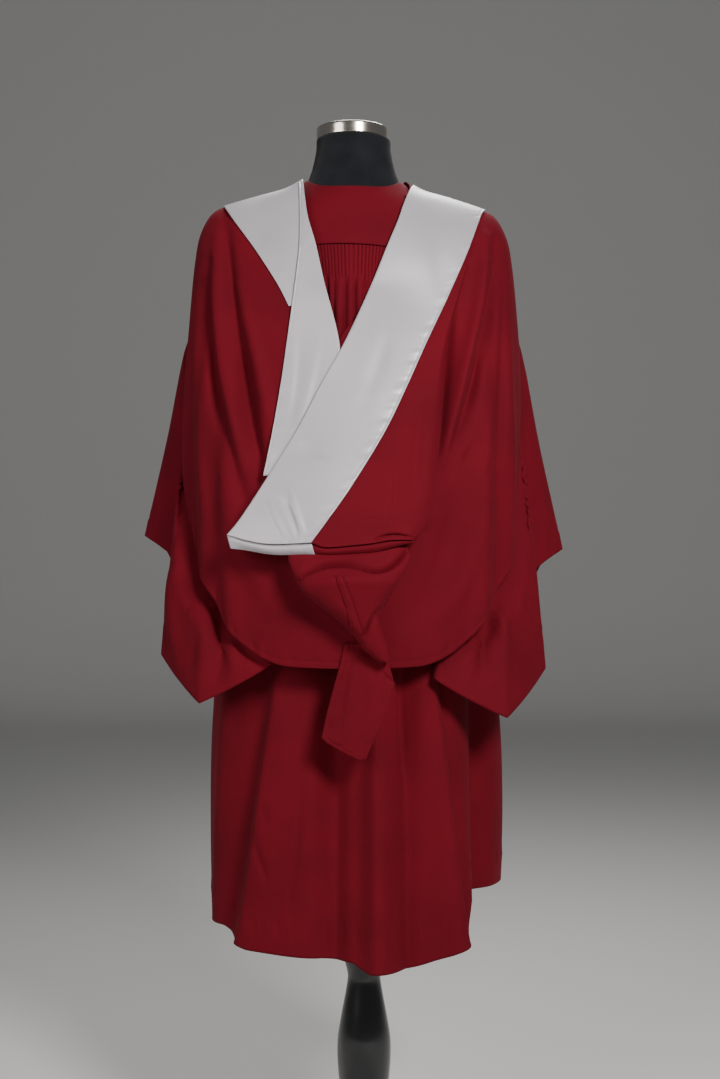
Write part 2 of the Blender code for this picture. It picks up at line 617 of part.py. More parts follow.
def add_cape():
    signed = np.array([-angle for angle in CAPE_HALF_ANGLES[:0:-1]] + list(CAPE_HALF_ANGLES), dtype=float)
    from_middle = np.abs(signed - CAPE_TOP_ANGLE * (np.abs(signed) < CAPE_TOP_REACH))
    top = np.interp(from_middle, CAPE_TOP[:, 0], CAPE_TOP[:, 1])
    edge = np.interp(np.abs(signed), CAPE_EDGE[:, 0], CAPE_EDGE[:, 1])
    rows = []
    for share in np.linspace(0, 1, 11):
        row = top + (edge - top) * share
        rows.append(cape_point(signed, row, CAPE_LIFT))
    return add_wall("hood_cape", rows, RED)


def cape_strip(table, length_cells, width_cells):
    """Rows of points across a strip that lies on the cape's back."""
    inner_angle, inner_row = find_on_cape(table[:, 0], table[:, 1])
    outer_angle, outer_row = find_on_cape(table[:, 2], table[:, 3])
    places = np.linspace(0, len(table) - 1, length_cells + 1)
    line = through(np.column_stack([inner_angle, inner_row, outer_angle, outer_row, table[:, 4:]]), places)
    share = np.linspace(0, 1, width_cells + 1)[None, :]
    angle = line[:, 0:1] + (line[:, 2:3] - line[:, 0:1]) * share
    row = line[:, 1:2] + (line[:, 3:4] - line[:, 1:2]) * share
    points = cape_point(angle, row, np.broadcast_to(line[:, 4:5], angle.shape))
    points[..., 1] -= line[:, 5:6]
    return list(points)


def turned_up(edge, height, tuck):
    """Rows of a narrow strip that is folded back below an edge."""
    rows = []
    for drop in np.linspace(0, 1, 3):
        row = edge.copy()
        row[:, 2] -= TURNUP_GAP + height * drop
        row[:, 1] += tuck * drop * drop
        rows.append(row)
    return rows


def add_front_band(name, side):
    line = through(FRONT_BAND, np.linspace(0, len(FRONT_BAND) - 1, 13))
    share = np.linspace(0, 1, 5)[None, :]
    angle = line[:, 0:1] + (line[:, 2:3] - line[:, 0:1]) * share
    row = line[:, 1:2] + (line[:, 3:4] - line[:, 1:2]) * share
    rows = list(cape_point(side * angle, row, SATIN_LIFT))
    return add_wall(name, rows, SATIN_GREY, thickness=SATIN, flip=side > 0)


def add_pouch():
    spin = np.linspace(0, 2 * np.pi, 18, endpoint=False)
    rows = []
    for z, left, right, near, far in through(POUCH, np.linspace(0, len(POUCH) - 1, 10)):
        x = (left + right) / 2 + (right - left) / 2 * signed_power(np.cos(spin), POUCH_SIDE_POWER)
        y = (near + far) / 2 + (far - near) / 2 * signed_power(np.sin(spin), POUCH_DEPTH_POWER)
        rows.append(np.column_stack([x, y, np.full_like(x, z)]))
    return add_wall("hood_pouch", rows, RED, closed=True, thickness=POUCH_WALL)


def add_tail():
    share = np.linspace(0, 1, 6)
    rows = []
    for z, left, right, depth in through(TAIL, np.linspace(0, len(TAIL) - 1, 10)):
        x = left + (right - left) * share
        y = depth - TAIL_BOW * np.sin(np.pi * share)
        rows.append(np.column_stack([x, y, np.full_like(x, z)]))
    return add_wall("hood_tail", rows, RED, thickness=TAIL_WALL)


# Form and stand

def add_torso():
    spin = np.linspace(-180, 180, 26, endpoint=False)
    rows = [ring_point(FORM_RINGS, FORM_POWER, spin, np.full_like(spin, row))
            for row in np.linspace(0, len(FORM_RINGS) - 1, 20)]
    count = len(spin)
    faces = []
    for index in range(len(rows) - 1):
        faces += strip_faces(index * count, count, (index + 1) * count, count, True)
    faces.append(tuple(range(count)))
    faces.append(tuple(range(len(rows) * count - 1, (len(rows) - 1) * count - 1, -1)))
    return add_mesh("form_torso", np.concatenate(rows), faces, JERSEY)


def add_neck_cap():
    cap = add_turned("form_neck_cap", NECK_CAP_OUTLINE, STEEL, 28)
    cap.location.x = NECK_CAP_X
    return cap


def add_stand():
    add_turned("stand_post", POST_OUTLINE, GLOSS_BLACK, 20)
    add_turned("stand_base", BASE_OUTLINE, GLOSS_BLACK, 36)
    pole_bottom = POST_TOP + POLE_GAP
    height = POLE_TOP - pole_bottom
    bpy.ops.mesh.primitive_cylinder_add(vertices=16, radius=POLE_RADIUS, depth=height)
    pole = bpy.context.active_object
    pole.name = "stand_pole"
    for vertex in pole.data.vertices:
        share = vertex.co.z / height + 0.5
        vertex.co.x += CENTRE_X * share
        vertex.co.z += (POLE_TOP + pole_bottom) / 2
    pole.data.materials.append(STEEL)
    for holder in list(pole.users_collection):
        holder.objects.unlink(pole)
    PARTS.objects.link(pole)


def add_hood():
    add_cape()
    band = cape_strip(BAND_RIGHT, 22, 4)
    add_wall("hood_band_right", band, SATIN_GREY, thickness=SATIN)
    add_wall("hood_shoulder_left", cape_strip(SHOULDER_LEFT, 10, 4), SATIN_GREY, thickness=SATIN, flip=True)
    add_wall("hood_band_left", cape_strip(BAND_LEFT, 15, 2), SATIN_GREY, thickness=SATIN, flip=True)
    cowl = cape_strip(COWL, 14, 5)
    add_wall("hood_cowl", cowl, RED)
    add_wall("hood_band_turnup", turned_up(band[-1], BAND_TURNUP_HEIGHT, TURNUP_TUCK), SATIN_GREY, thickness=SATIN)
    add_wall("hood_cowl_turnup", turned_up(cowl[-1], COWL_TURNUP_HEIGHT, TURNUP_TUCK), RED)
    add_front_band("hood_front_band_right", 1)
    add_front_band("hood_front_band_left", -1)
    add_pouch()
    add_tail()


def add_gown():
    add_yoke()
    add_back()
    add_front("gown_front_right", 1)
    add_front("gown_front_left", -1)
    add_sleeve("gown_sleeve_right", 1, RIGHT_SLEEVE_DROP)
    add_sleeve("gown_sleeve_left", -1, 0.0)


for old in list(bpy.data.objects):
    bpy.data.objects.remove(old, do_unlink=True)

PARTS = collection_named("graduation gown on a dress form")
RED = material_named("red gown cloth", (0.165, 0.008, 0.012), 0.85)
SATIN_GREY = material_named("silver grey satin", (0.60, 0.56, 0.57), 0.38)
JERSEY = material_named("black jersey", (0.008, 0.008, 0.010), 0.90)
STEEL = material_named("polished steel", (0.62, 0.58, 0.54), 0.20, 1.0)
GLOSS_BLACK = material_named("black gloss paint", (0.010, 0.010, 0.011), 0.25)

add_torso()
add_neck_cap()
add_stand()
add_gown()
add_hood()
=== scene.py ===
"""Graduation gown with its hood on a dress form: the look of every piece.

The cloth hangs on two ringed surfaces, one for the gown and one for the hood's
cape. A ring is a squared ellipse round the body. An angle of 0 degrees is the
middle of the back, 90 the wearer's right shoulder and 180 the middle of the
front. Rows run from the neck down. Metres, +Z up, the back faces -Y. Tables that
are divided by 1000 are written in millimetres.
"""

import math

import bpy
import numpy as np
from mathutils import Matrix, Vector


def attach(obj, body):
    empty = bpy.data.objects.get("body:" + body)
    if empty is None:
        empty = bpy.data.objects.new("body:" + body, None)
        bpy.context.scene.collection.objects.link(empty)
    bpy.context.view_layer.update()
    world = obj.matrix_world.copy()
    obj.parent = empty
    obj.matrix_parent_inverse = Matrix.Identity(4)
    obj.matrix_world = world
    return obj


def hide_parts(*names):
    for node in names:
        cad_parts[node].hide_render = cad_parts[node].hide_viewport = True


bl_info = {
    "name": "Graduation gown and hood",
    "version": (1, 0, 0),
    "blender": (4, 5, 0),
    "location": "View3D > Sidebar > Gown",
    "description": "Builds the cloth, trims and materials of a gown and hood on a dress form",
    "category": "Object",
}

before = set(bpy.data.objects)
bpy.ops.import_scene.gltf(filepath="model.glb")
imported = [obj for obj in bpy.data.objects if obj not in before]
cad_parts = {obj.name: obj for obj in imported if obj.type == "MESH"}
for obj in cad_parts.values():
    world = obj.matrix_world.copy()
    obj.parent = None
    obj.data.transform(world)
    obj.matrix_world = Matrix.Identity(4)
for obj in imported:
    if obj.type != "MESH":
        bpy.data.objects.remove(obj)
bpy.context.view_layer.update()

# the hanging surfaces: their middle, the slope of the shoulders across, and powers
# of the ridge over the shoulders and of each surface's squared ellipse
CENTRE_X = -0.017
SHOULDER_TILT = 0.014
TILT_FROM_Z = 1.10
TILT_FULL_Z = 1.45
RIDGE_POWER = 4.0
GOWN_POWER = 0.88
CAPE_POWER = 0.84
FORM_POWER = 0.95
# distances along the normal, in metres
GOWN_INSET = 0.0030
CAPE_LIFT = 0.0006
SATIN_LIFT = 0.0040
# rows of the gown's rings, counted from the neck
YOKE_ROW = 3.3
UNDERARM_ROW = 7.0
ARMHOLE_HALF_ANGLE = 35.0
SLEEVE_EASE = 0.955
BODY_ROOM = 0.009
CAPE_ROOM = 0.012
EDGE_MARGIN = 0.35
HEM_ROW = 14.0
SKIRT_FOLDS_FROM_ROW = 8.6
SKIRT_FOLDS_FULL_ROW = 11.6
FLUTES = 52
FLUTE_SHARE = 0.64
PLEAT_HEIGHT = 0.0028
LOOSE_FOLD_HEIGHT = 0.0055
HEM_SHIFT_FROM_ROW = 10.5
TAIL_BOW = 0.0018
COWL_ROLL = 0.010
RIGHT_SLEEVE_DROP = 0.022
ROW_SAMPLES = 400
END_DOT = 0.01
FOLD_SAMPLES = 40

# half width, z at the side, depth at the back, z there, depth at the front, z there
GOWN_RINGS = np.array([
    (79, 1585, 75, 1564, 69, 1542),
    (110, 1565, 88, 1545, 81, 1519),
    (150, 1554, 103, 1515, 95, 1490),
    (188, 1541.5, 120, 1475, 108, 1450),
    (203, 1500, 133, 1430, 118, 1410),
    (204, 1440, 146, 1380, 124, 1370),
    (203, 1360, 156, 1320, 130, 1320),
    (203, 1270, 166, 1250, 135, 1250),
    (207, 1150, 176, 1150, 142, 1150),
    (214, 1000, 186, 1000, 152, 1000),
    (222, 860, 192, 860, 166, 860),
    (231, 700, 202, 700, 182, 710),
    (234, 560, 212, 560, 196, 580),
    (233, 450, 220, 445, 206, 470),
    (231, 385, 224, 369, 212, 402),
]) / 1000
CAPE_RINGS = np.array([
    (79.5, 1586.5, 76, 1566, 70, 1544),
    (111, 1566.5, 89, 1547, 82, 1521),
    (152, 1555, 104.5, 1517, 96.5, 1492),
    (200, 1540.5, 122, 1477, 111, 1450),
    (229, 1526.5, 135, 1440, 120, 1415),
    (248, 1492, 147, 1400, 127, 1380),
    (256, 1450, 160, 1360, 134, 1345),
    (262, 1390, 178, 1300, 142, 1290),
    (268, 1300, 200, 1220, 150, 1220),
    (270, 1200, 218, 1140, 158, 1140),
    (268, 1090, 233, 1050, 166, 1050),
    (264, 980, 243, 950, 172, 950),
    (259, 880, 247, 865, 178, 865),
    (252, 820, 245, 808, 182, 808),
]) / 1000
FORM_RINGS = np.array([
    (57, 1652, 57, 1652, 57, 1652),
    (60.5, 1650, 60.5, 1650, 60.5, 1650),
    (61.2, 1635, 60.5, 1632, 60, 1630),
    (65, 1615, 62, 1605, 60.5, 1600),
    (71, 1593.8, 65.5, 1579, 60, 1566),
    (81.8, 1574.2, 73, 1554, 65, 1534),
    (110, 1558.4, 85, 1533, 75, 1509),
    (149, 1548.2, 99, 1505, 90, 1480),
    (178, 1537.1, 113, 1466, 103, 1442),
    (189, 1520, 120, 1442, 108, 1420),
    (192, 1470, 129, 1400, 114, 1385),
    (188, 1380, 136, 1340, 120, 1330),
    (176, 1260, 136, 1250, 118, 1240),
    (150, 1120, 118, 1120, 100, 1120),
    (164, 980, 133, 980, 105, 980),
    (168, 900, 138, 900, 108, 900),
    (160, 862, 130, 862, 100, 862),
    (145, 855, 115, 855, 88, 855),
]) / 1000
# radius and height along each turned piece, top to bottom
NECK_CAP_X = -0.020
NECK_CAP = np.array([
    (1, 1673), (30, 1673), (50, 1673), (54.8, 1672.7), (56.6, 1671.8), (57.4, 1670.2),
    (57.6, 1668), (57.6, 1662), (57.6, 1656), (57.4, 1654.2), (56.6, 1653.2),
]) / 1000
POST = np.array([
    (1, 430), (18, 430), (27, 428), (33.5, 422), (35, 400), (34.5, 360),
    (32, 315), (28, 296), (26.8, 284), (30, 262), (37, 225), (42.8, 190),
    (44, 165), (43, 140), (40.5, 115), (35, 88), (28.5, 66), (30, 54),
    (34, 46), (36, 40.6),
]) / 1000
BASE = np.array([
    (1, 40.2), (30, 40.2), (75, 37.5), (120, 34), (158, 28), (168, 20),
    (170, 10), (168.5, 2), (166, 0.2), (120, 0), (1, 0),
]) / 1000
# angle, ring where the cape begins
CAPE_TOP = np.array([
    (0, 7.10), (8, 5.85), (15, 3.95), (26, 2.45), (47, 1.05), (90, 0.12),
    (120, 0.15), (145, 0.90), (163, 3.20), (173, 6.40),
])
CAPE_TOP_ANGLE = -4.0
# angle, ring where the cape ends
CAPE_EDGE = np.array([
    (0, 13.0), (20, 12.9), (30, 12.6), (39, 12.2), (47, 11.7), (55, 11.3),
    (62, 11.0), (67, 10.6), (71, 10.1), (75, 9.6), (79, 9.0), (84, 8.1),
    (92, 7.2), (105, 6.6), (122, 6.2), (145, 6.2), (163, 6.6), (173, 7.0),
])
CAPE_HALF_ANGLES = (0, 6, 12, 18, 23, 28, 32, 36, 40, 44, 48, 52, 56, 60, 65, 70, 75, 80, 87,
                    97, 110, 126, 148, 173)
# angle at the waist, angle at the hem, half width to the left, half width to the
# right, height of the fold
SKIRT_FOLDS = np.array([
    (-50, -66, 8, 8, 0.008), (-20, -56, 6, 4, -0.006),
    (-13, -45, 3.5, 11, 0.016), (-4.5, -5, 6, 3.5, -0.018), (6, 6.5, 3.5, 6.5, 0.024),
    (17, 18, 3, 4, -0.008), (17, 43, 10, 3, 0.022), (27, 50, 3, 5, 0.006),
    (58, 60, 8, 8, -0.024), (84, 88, 12, 12, 0.010), (112, 116, 10, 10, 0.014),
    (140, 143, 10, 10, 0.012), (160, 161, 8, 8, 0.010), (-104, -106, 10, 10, 0.012),
    (-130, -133, 10, 10, 0.014), (-158, -159, 9, 9, 0.012),
])
# angle, how far the hem lies above the lowest ring there
HEM_SHIFT = np.array([
    (-180, 0.000), (-130, 0.000), (-90, 0.014), (-60, 0.021), (-49, 0.010), (-40, 0.004),
    (-25, 0.002), (-10, 0.001), (-4, -0.002), (0, -0.004), (2, -0.012), (4.5, -0.018),
    (12, -0.018), (20, -0.015), (28, -0.008), (36, -0.002), (42, 0.004), (45, 0.010),
    (47, 0.030), (50, 0.066), (60, 0.072), (88, 0.064), (110, 0.030), (130, 0.005), (180, 0.000),
])
BACK_FOLDS = np.array([
    (-13, -13, 3.0, 3.0, 0.007), (-5, -5, 3.0, 3.0, 0.009), (3, 3, 3.0, 3.0, 0.006),
])
CAPE_FOLDS = np.array([
    (-73, 6, 0.010), (-55, 5, 0.010), (-41, 5, 0.008), (44, 5, 0.012), (60, 6, 0.012),
])
# out from the middle, y and z of seven places round each sleeve ring
ARMHOLE_PLACES = (0, 40, 85, 135, 190, 240, 300)
SLEEVE_RINGS = np.array([
    ((241, 0, 1498), (234, -36, 1480), (219, -70, 1435), (206, -88, 1330),
     (214, -10, 1246), (208, 70, 1315), (219, 72, 1430)),
    ((254, 5, 1400), (247, -40, 1385), (236, -75, 1345), (212, -108, 1250),
     (214, -50, 1180), (222, 60, 1215), (234, 70, 1330)),
    ((282, 10, 1285), (262, -40, 1262), (256, -85, 1215), (222, -135, 1120),
     (182, -150, 1070), (236, 50, 1110), (270, 98, 1210)),
    ((306, 15, 1165), (276, -40, 1125), (278, -92, 1065), (232, -150, 970),
     (150, -185, 945), (246, 40, 1000), (296, 112, 1095)),
    ((343, 20, 1006), (290, -30, 970), (300, -110, 820), (232, -200, 752),
     (122, -208, 812), (256, 30, 870), (322, 130, 980)),
]) / 1000
SLEEVE_CORNERS = (0.0, 0.0, 0.15, 0.45, 0.80)

# inner edge x and z, outer edge x and z, lift off the cape, stand-off to the back
BAND_RIGHT = np.array([
    (78, 1571.5, 195, 1529, 4, 0),
    (62, 1530, 187, 1518, 4, 0),
    (52, 1498, 176, 1490, 4, 0),
    (34, 1452, 160, 1448, 4, 0),
    (6, 1380, 131, 1380, 4.5, 0),
    (-29, 1300, 94, 1300, 8, 1),
    (-66, 1230, 63.5, 1230, 8.5, 4),
    (-101.5, 1159, 30, 1159, 8.5, 10),
    (-149, 1079, -17.5, 1079, 8.5, 24),
    (-181, 1028, -55.5, 1024, 8.5, 36),
    (-195.5, 1006, -76.5, 994.5, 8.5, 42),
]) / 1000
SHOULDER_LEFT = np.array([
    (-97, 1579, -226, 1536, 3.4, 0),
    (-96, 1540, -206, 1505, 3, 0),
    (-95, 1470, -168, 1450, 3, 0),
    (-99, 1400, -134, 1395, 3, 0),
    (-106, 1360, -115.5, 1358, 3, 0),
]) / 1000
BAND_LEFT = np.array([
    (-95.5, 1570, -102, 1570, 5, 0),
    (-92.5, 1540, -101, 1538, 5.2, 0),
    (-87, 1502, -100, 1500, 5.6, 0),
    (-74.5, 1456, -100.5, 1452, 5.8, 1),
    (-61.5, 1396, -106, 1396, 5.6, 2),
    (-37, 1290, -119, 1290, 4.2, 1),
    (-52, 1235, -126, 1235, 4.2, 2),
    (-92, 1165, -137, 1165, 4.2, 4),
    (-135, 1095, -150, 1095, 4.2, 8),
]) / 1000
COWL = np.array([
    (150, 1430, 162, 1428, 2.8, 0),
    (128, 1380, 148, 1380, 3, 0),
    (91, 1300, 126, 1300, 6.4, 1),
    (60, 1230, 118, 1230, 6.9, 4),
    (27, 1159, 112, 1159, 6.9, 10),
    (-20, 1079, 102, 1079, 6.9, 24),
    (-59, 1024, 88, 1024, 6.9, 36),
    (-79, 995, 70, 997, 6.9, 42),
]) / 1000
# angle and ring of the inner edge, angle and ring of the outer edge
FRONT_BAND = np.array([
    (93, 0.16, 92, 3.05), (118, 0.20, 108, 3.25), (145, 1.00, 130, 3.70),
    (160, 2.80, 148, 4.60), (168, 4.70, 161, 5.90), (173, 6.45, 171, 6.90),
])
# z, left x, right x, y of its near side, y of its far side
POUCH = np.array([
    (988, -108, 62, -277, -260),
    (972, -111, 66, -283, -257),
    (949, -103, 55, -300, -255.5),
    (927, -92, 40, -303, -255.5),
    (908, -70, 28, -299, -255.5),
    (887, -43, 20, -294, -255.5),
    (862, -17, 26, -288, -255.5),
    (840, 0, 33, -282, -255.5),
    (821, 23, 36, -274, -255.5),
]) / 1000
# left x and z, right x and z, of a tape along the pouch's seam
POUCH_TAPE = np.array([
    (-42, 948, -31, 946.6), (-35.5, 928.2, -21.2, 922.6), (-27.5, 905.6, -12.7, 900),
    (-21.6, 882.8, -5.4, 877.2), (-18, 865, 0.4, 861.5),
]) / 1000
# z, left x, right x, y
TAIL = np.array([
    (846, -29, 25, -249.8), (814.3, -36.3, 37, -249.8), (785.1, -44.4, 44.9, -250.5),
    (747.7, -54.5, 33.4, -251.5), (707.1, -63.4, 16, -253), (699, -54.8, 12.2, -253),
    (687, -33.2, 6.8, -253), (676.6, -12.8, 2, -253), (675, -7, 0, -253),
]) / 1000
# how far the end of a strip hangs below its line, at even steps across
BAND_END_DROP = np.array([(0,), (3.5,), (5.5,), (3.5,), (0,)]) / 1000
COWL_END_DROP = np.array([(0,), (7,), (7,), (4.5,), (2,), (-1.5,), (-2,), (-1.5,)]) / 1000
# height and swell of a turn-up, at even steps across
BAND_TURNUP = np.array([
    (19, 1), (15, 4), (14, 5.2), (14.5, 4.4), (15, 5), (16.2, 3),
]) / 1000
COWL_TURNUP = np.array([
    (15.5, 3), (11, 3.4), (10.2, 3), (10.8, 2.8), (11, 2.6), (9.6, 2.4),
    (5.4, 2), (2.4, 1),
]) / 1000

# Creases seen from the back: start x and z, middle x and z, end x and z, half width to
# the left, half width to the right, height. A negative height is a groove.
CAPE_CREASES = np.array([
    (-222, 1515, -206, 1374, -176, 1220, 9, 11, -12),
    (-194, 1310, -174, 1189, -156, 1090, 12, 11, -18),
    (-234, 1476, -224, 1310, -184, 1115, 9, 11, 10),
    (-244, 1430, -236, 1270, -186, 1075, 12, 9, -13),
    (-196, 1389, -156, 1243, -146, 1166, 12, 10, 8),
    (-260, 1379, -262, 1217, -243, 1030, 7, 7, 3.5),
    (-217, 1106, -188, 999, -133, 895, 16, 16, 5),
    (-154, 1059, -118, 955, -51, 866, 18, 18, -5),
    (193, 1475, 167, 1316, 95, 1044, 12, 9, 15),
    (130, 1371, 124, 1228, 101, 1059, 9, 11, -18),
    (207, 1468, 181, 1301, 123, 1112, 9, 11, -13),
    (221, 1442, 212, 1248, 202, 1091, 7, 7, -3),
    (211, 1457, 201, 1247, 185, 1106, 8, 7, 2.6),
    (230, 1380, 224, 1217, 212, 1061, 8, 8, 2.4),
    (173, 1152, 161, 1133, 148, 1111, 6, 7, -3),
    (207, 1130, 195, 1112, 184, 1094, 6, 6, -2.2),
    (137, 1090, 113, 969, 68, 880, 14, 14, -4.5),
    (183, 1060, 160, 954, 113, 880, 12, 12, 4),
]) / 1000
COWL_CREASES = np.array([
    (50, 1148, 46, 1073, 40, 1021, 6, 10, -3),
    (84, 1210, 77, 1133, 70, 1058, 8, 8, 3),
    (17, 1003, 43, 1008, 69, 1002, 3, 1.6, -6),
    (-29, 1028, 11, 1026, 58, 1029, 8, 6, 2.5),
]) / 1000
BAND_CREASES = np.array([
    (102, 1548, 114, 1452, 126, 1370, 16, 20, -1.6),
    (-125, 1058, -109, 1036, -94, 999, 4, 5, -3),
    (-142, 1051, -127, 1026, -109, 998, 3, 4, 2.2),
    (-110, 1070, -101, 1040, -88, 1002, 4, 5, 2.6),
    (36, 1320, 24, 1272, 2, 1210, 12, 12, -1.2),
    (-96, 1148, -81, 1133, -59, 1124, 6, 8, -1.6),
]) / 1000
LEFT_CREASES = np.array([
    (-98, 1320, -101, 1242, -112, 1165, 6, 10, -1.5),
    (-71, 1304, -85, 1226, -109, 1149, 10, 6, 1.2),
]) / 1000
POUCH_CREASES = np.array([
    (-94, 940, -50, 960, 10, 953, 1.8, 6, -15),
    (0, 954, 37, 957, 66, 986, 1.8, 6, -13),
    (-79, 928, -36, 941, 40, 938, 11, 6, 4.5),
    (17, 897, 6, 877, -5, 853, 2, 6, -8),
    (-86, 968, -20, 972, 40, 980, 5, 4, 2.5),
    (-50, 915, -28, 895, -14, 871, 6, 6, 1.5),
]) / 1000
TAIL_CREASES = np.array([
    (-15, 838, -30, 780, -36, 712, 5, 6, -3.4),
    (11, 800, 12, 755, -4, 700, 9, 12, 3),
    (26, 806, 34, 795, 44, 789, 1.6, 2.6, -2.6),
    (-10, 842, 4, 832, 20, 820, 6, 8, -5),
]) / 1000
SKIRT_CREASES = np.array([
    (-161, 586, -152, 578, -140, 581, 3, 5, -4),
    (-171, 546, -160, 514, -147, 487, 4, 6, -5),
    (51, 805, 54, 727, 57, 644, 3, 7, -7),
    (-82, 756, -79, 636, -97, 486, 14, 16, 3),
    (-97, 636, -102, 531, -120, 411, 6, 6, -1.6),
    (122, 754, 129, 664, 139, 575, 4, 8, 3.5),
]) / 1000
LEFT_SLEEVE_CREASES = np.array([
    (-276, 1313, -282, 1150, -310, 975, 11, 16, -11),
    (-295, 968, -300, 890, -284, 807, 10, 12, 7),
    (-240, 945, -222, 884, -222, 795, 13, 10, -20),
    (-257, 846, -263, 824, -266, 798, 8, 8, -4),
    (-202, 889, -200, 840, -197, 788, 8, 8, 5),
]) / 1000
RIGHT_SLEEVE_CREASES = np.array([
    (262, 1319, 262, 1095, 256, 921, 13, 12, -8),
    (219, 921, 211, 876, 219, 831, 8, 8, 7),
    (190, 888, 185, 847, 178, 799, 10, 11, -17),
    (287, 1097, 296, 1032, 286, 967, 10, 10, 3),
]) / 1000
# The same for the front panels, which the photograph doesn't show
FRONT_CREASES = np.array([
    (110, 1300, 128, 1050, 140, 760, 7, 12, -6),
    (75, 1180, 82, 900, 86, 560, 9, 8, 5),
    (160, 1020, 170, 800, 176, 560, 8, 8, 5),
    (-120, 1260, -140, 1020, -156, 740, 11, 7, -6),
    (-86, 1220, -96, 930, -100, 600, 8, 9, 5),
    (-180, 980, -190, 780, -196, 540, 8, 8, 5),
]) / 1000

# Curves and surfaces

def through(values, places):
    """Smooth curve through a table's rows: a cubic between two rows, whose slopes
    are half the step between the rows on either side."""
    places = np.asarray(places, dtype=float)
    last = len(values) - 1
    first = np.clip(np.floor(places).astype(int), 0, last - 1)
    share = (places - first)[..., None]
    before = values[np.clip(first - 1, 0, last)]
    start = values[first]
    end = values[first + 1]
    after = values[np.clip(first + 2, 0, last)]
    slope_start = 0.5 * (end - before)
    slope_end = 0.5 * (after - start)
    square = share * share
    cube = square * share
    return ((2 * cube - 3 * square + 1) * start + (cube - 2 * square + share) * slope_start
            + (3 * square - 2 * cube) * end + (cube - square) * slope_end)


def soft_step(value, low, high):
    """0 below low, 1 above high, 3s^2 - 2s^3 between."""
    share = np.clip((value - low) / (high - low), 0.0, 1.0)
    return share * share * (3 - 2 * share)


def signed_power(value, power):
    """Power of the size, with the value's sign."""
    return np.sign(value) * np.abs(value) ** power


def ring_point(rings, power, angle, row):
    """Squared ellipse: half width times sin^power across and depth times
    cos^power deep, at a height that blends from the back's to the side's."""
    angle = np.radians(np.asarray(angle, dtype=float))
    sizes = through(rings, row)
    sine = np.sin(angle)
    cosine = np.cos(angle)
    at_back = cosine >= 0
    across = sizes[..., 0] * signed_power(sine, power)
    depth = np.where(at_back, sizes[..., 2], sizes[..., 4])
    middle_z = np.where(at_back, sizes[..., 3], sizes[..., 5])
    ridge = np.abs(sine) ** RIDGE_POWER
    z = sizes[..., 1] * ridge + middle_z * (1 - ridge)
    z = z - SHOULDER_TILT * across * soft_step(z, TILT_FROM_Z, TILT_FULL_Z)
    return np.stack([CENTRE_X + across, -depth * signed_power(cosine, power), z], axis=-1)


def outward(rings, power, angle, row):
    """Unit normal: the cross product of small steps down and round."""
    turn = 0.5
    down = 0.05
    round_way = ring_point(rings, power, angle + turn, row) - ring_point(rings, power, angle - turn, row)
    down_way = ring_point(rings, power, angle, row + down) - ring_point(rings, power, angle, row - down)
    normal = np.cross(down_way, round_way)
    return normal / np.linalg.norm(normal, axis=-1, keepdims=True)


def fold_height(angle, folds, share):
    """Sum of bell curves over the angle, which drift from waist to hem."""
    total = np.zeros(np.broadcast(angle, share).shape)
    for top_angle, hem_angle, left_width, right_width, height in folds:
        away = angle - top_angle - (hem_angle - top_angle) * share
        half_width = np.where(away < 0, left_width, right_width)
        total = total + height * np.exp(-(away / half_width) ** 2)
    return total


def cape_fold_height(angle, row):
    """Sum of bell curves over the angle, which grow from the shoulder down."""
    total = np.zeros(np.broadcast(angle, row).shape)
    for middle, half_width, height in CAPE_FOLDS:
        total = total + height * np.exp(-((angle - middle) / half_width) ** 2)
    return total * soft_step(row, 6.0, 10.0)


def crease_height(points, creases):
    """Bell curve over the distance to each crease's line, a parabola through its three
    places, with a half width of its own on either side. The root of a half sine
    fades it in and out along the line."""
    x = points[..., 0]
    z = points[..., 2]
    steps = np.linspace(0, 1, FOLD_SAMPLES)
    first = (1 - steps) * (1 - 2 * steps)
    second = 4 * steps * (1 - steps)
    third = steps * (2 * steps - 1)
    fades = np.sin(np.pi * np.clip(steps, 0.04, 0.96)) ** 0.6
    total = np.zeros(x.shape)
    for start_x, start_z, middle_x, middle_z, end_x, end_z, left_width, right_width, height in creases:
        nearest = np.full(x.shape, 9.0)
        across = np.zeros(x.shape)
        fade = np.zeros(x.shape)
        line_x = first * start_x + second * middle_x + third * end_x
        line_z = first * start_z + second * middle_z + third * end_z
        heading_x = np.gradient(line_x)
        heading_z = np.gradient(line_z)
        steps_long = np.hypot(heading_x, heading_z)
        places = zip(line_x, line_z, heading_x / steps_long, heading_z / steps_long, steps_long, fades)
        for place_x, place_z, way_x, way_z, step, share in places:
            along = way_x * (x - place_x) + way_z * (z - place_z)
            aside = way_x * (z - place_z) - way_z * (x - place_x)
            away = aside ** 2 + np.clip(np.abs(along) - step, 0, None) ** 2
            closer = away < nearest
            nearest = np.where(closer, away, nearest)
            across = np.where(closer, aside, across)
            fade = np.where(closer, share, fade)
        half_width = np.where(across < 0, left_width, right_width)
        total = total + height * fade * np.exp(-nearest / half_width ** 2)
    return total


def grid_normals(points, closed):
    """Unit normals of a grid, away from the body, or from the tube's middle."""
    if closed:
        across = np.roll(points, -1, axis=1) - np.roll(points, 1, axis=1)
        away = points - points.mean(axis=1, keepdims=True)
    else:
        across = np.gradient(points, axis=1)
        away = points - np.array([CENTRE_X, 0.0, 0.0])
    normal = np.cross(np.gradient(points, axis=0), across)
    normal = normal / np.maximum(np.linalg.norm(normal, axis=-1, keepdims=True), 1e-9)
    away[..., 2] = 0
    return normal * np.sign(np.sum(normal * away))


def creased(points, creases, closed=False, side=-1):
    """The grid with its creases, moved along the normals where they face that side."""
    normal = grid_normals(points, closed)
    facing = np.clip(side * normal[..., 1] * 3.0, 0.0, 1.0)
    return points + normal * (crease_height(points, creases) * facing)[..., None]


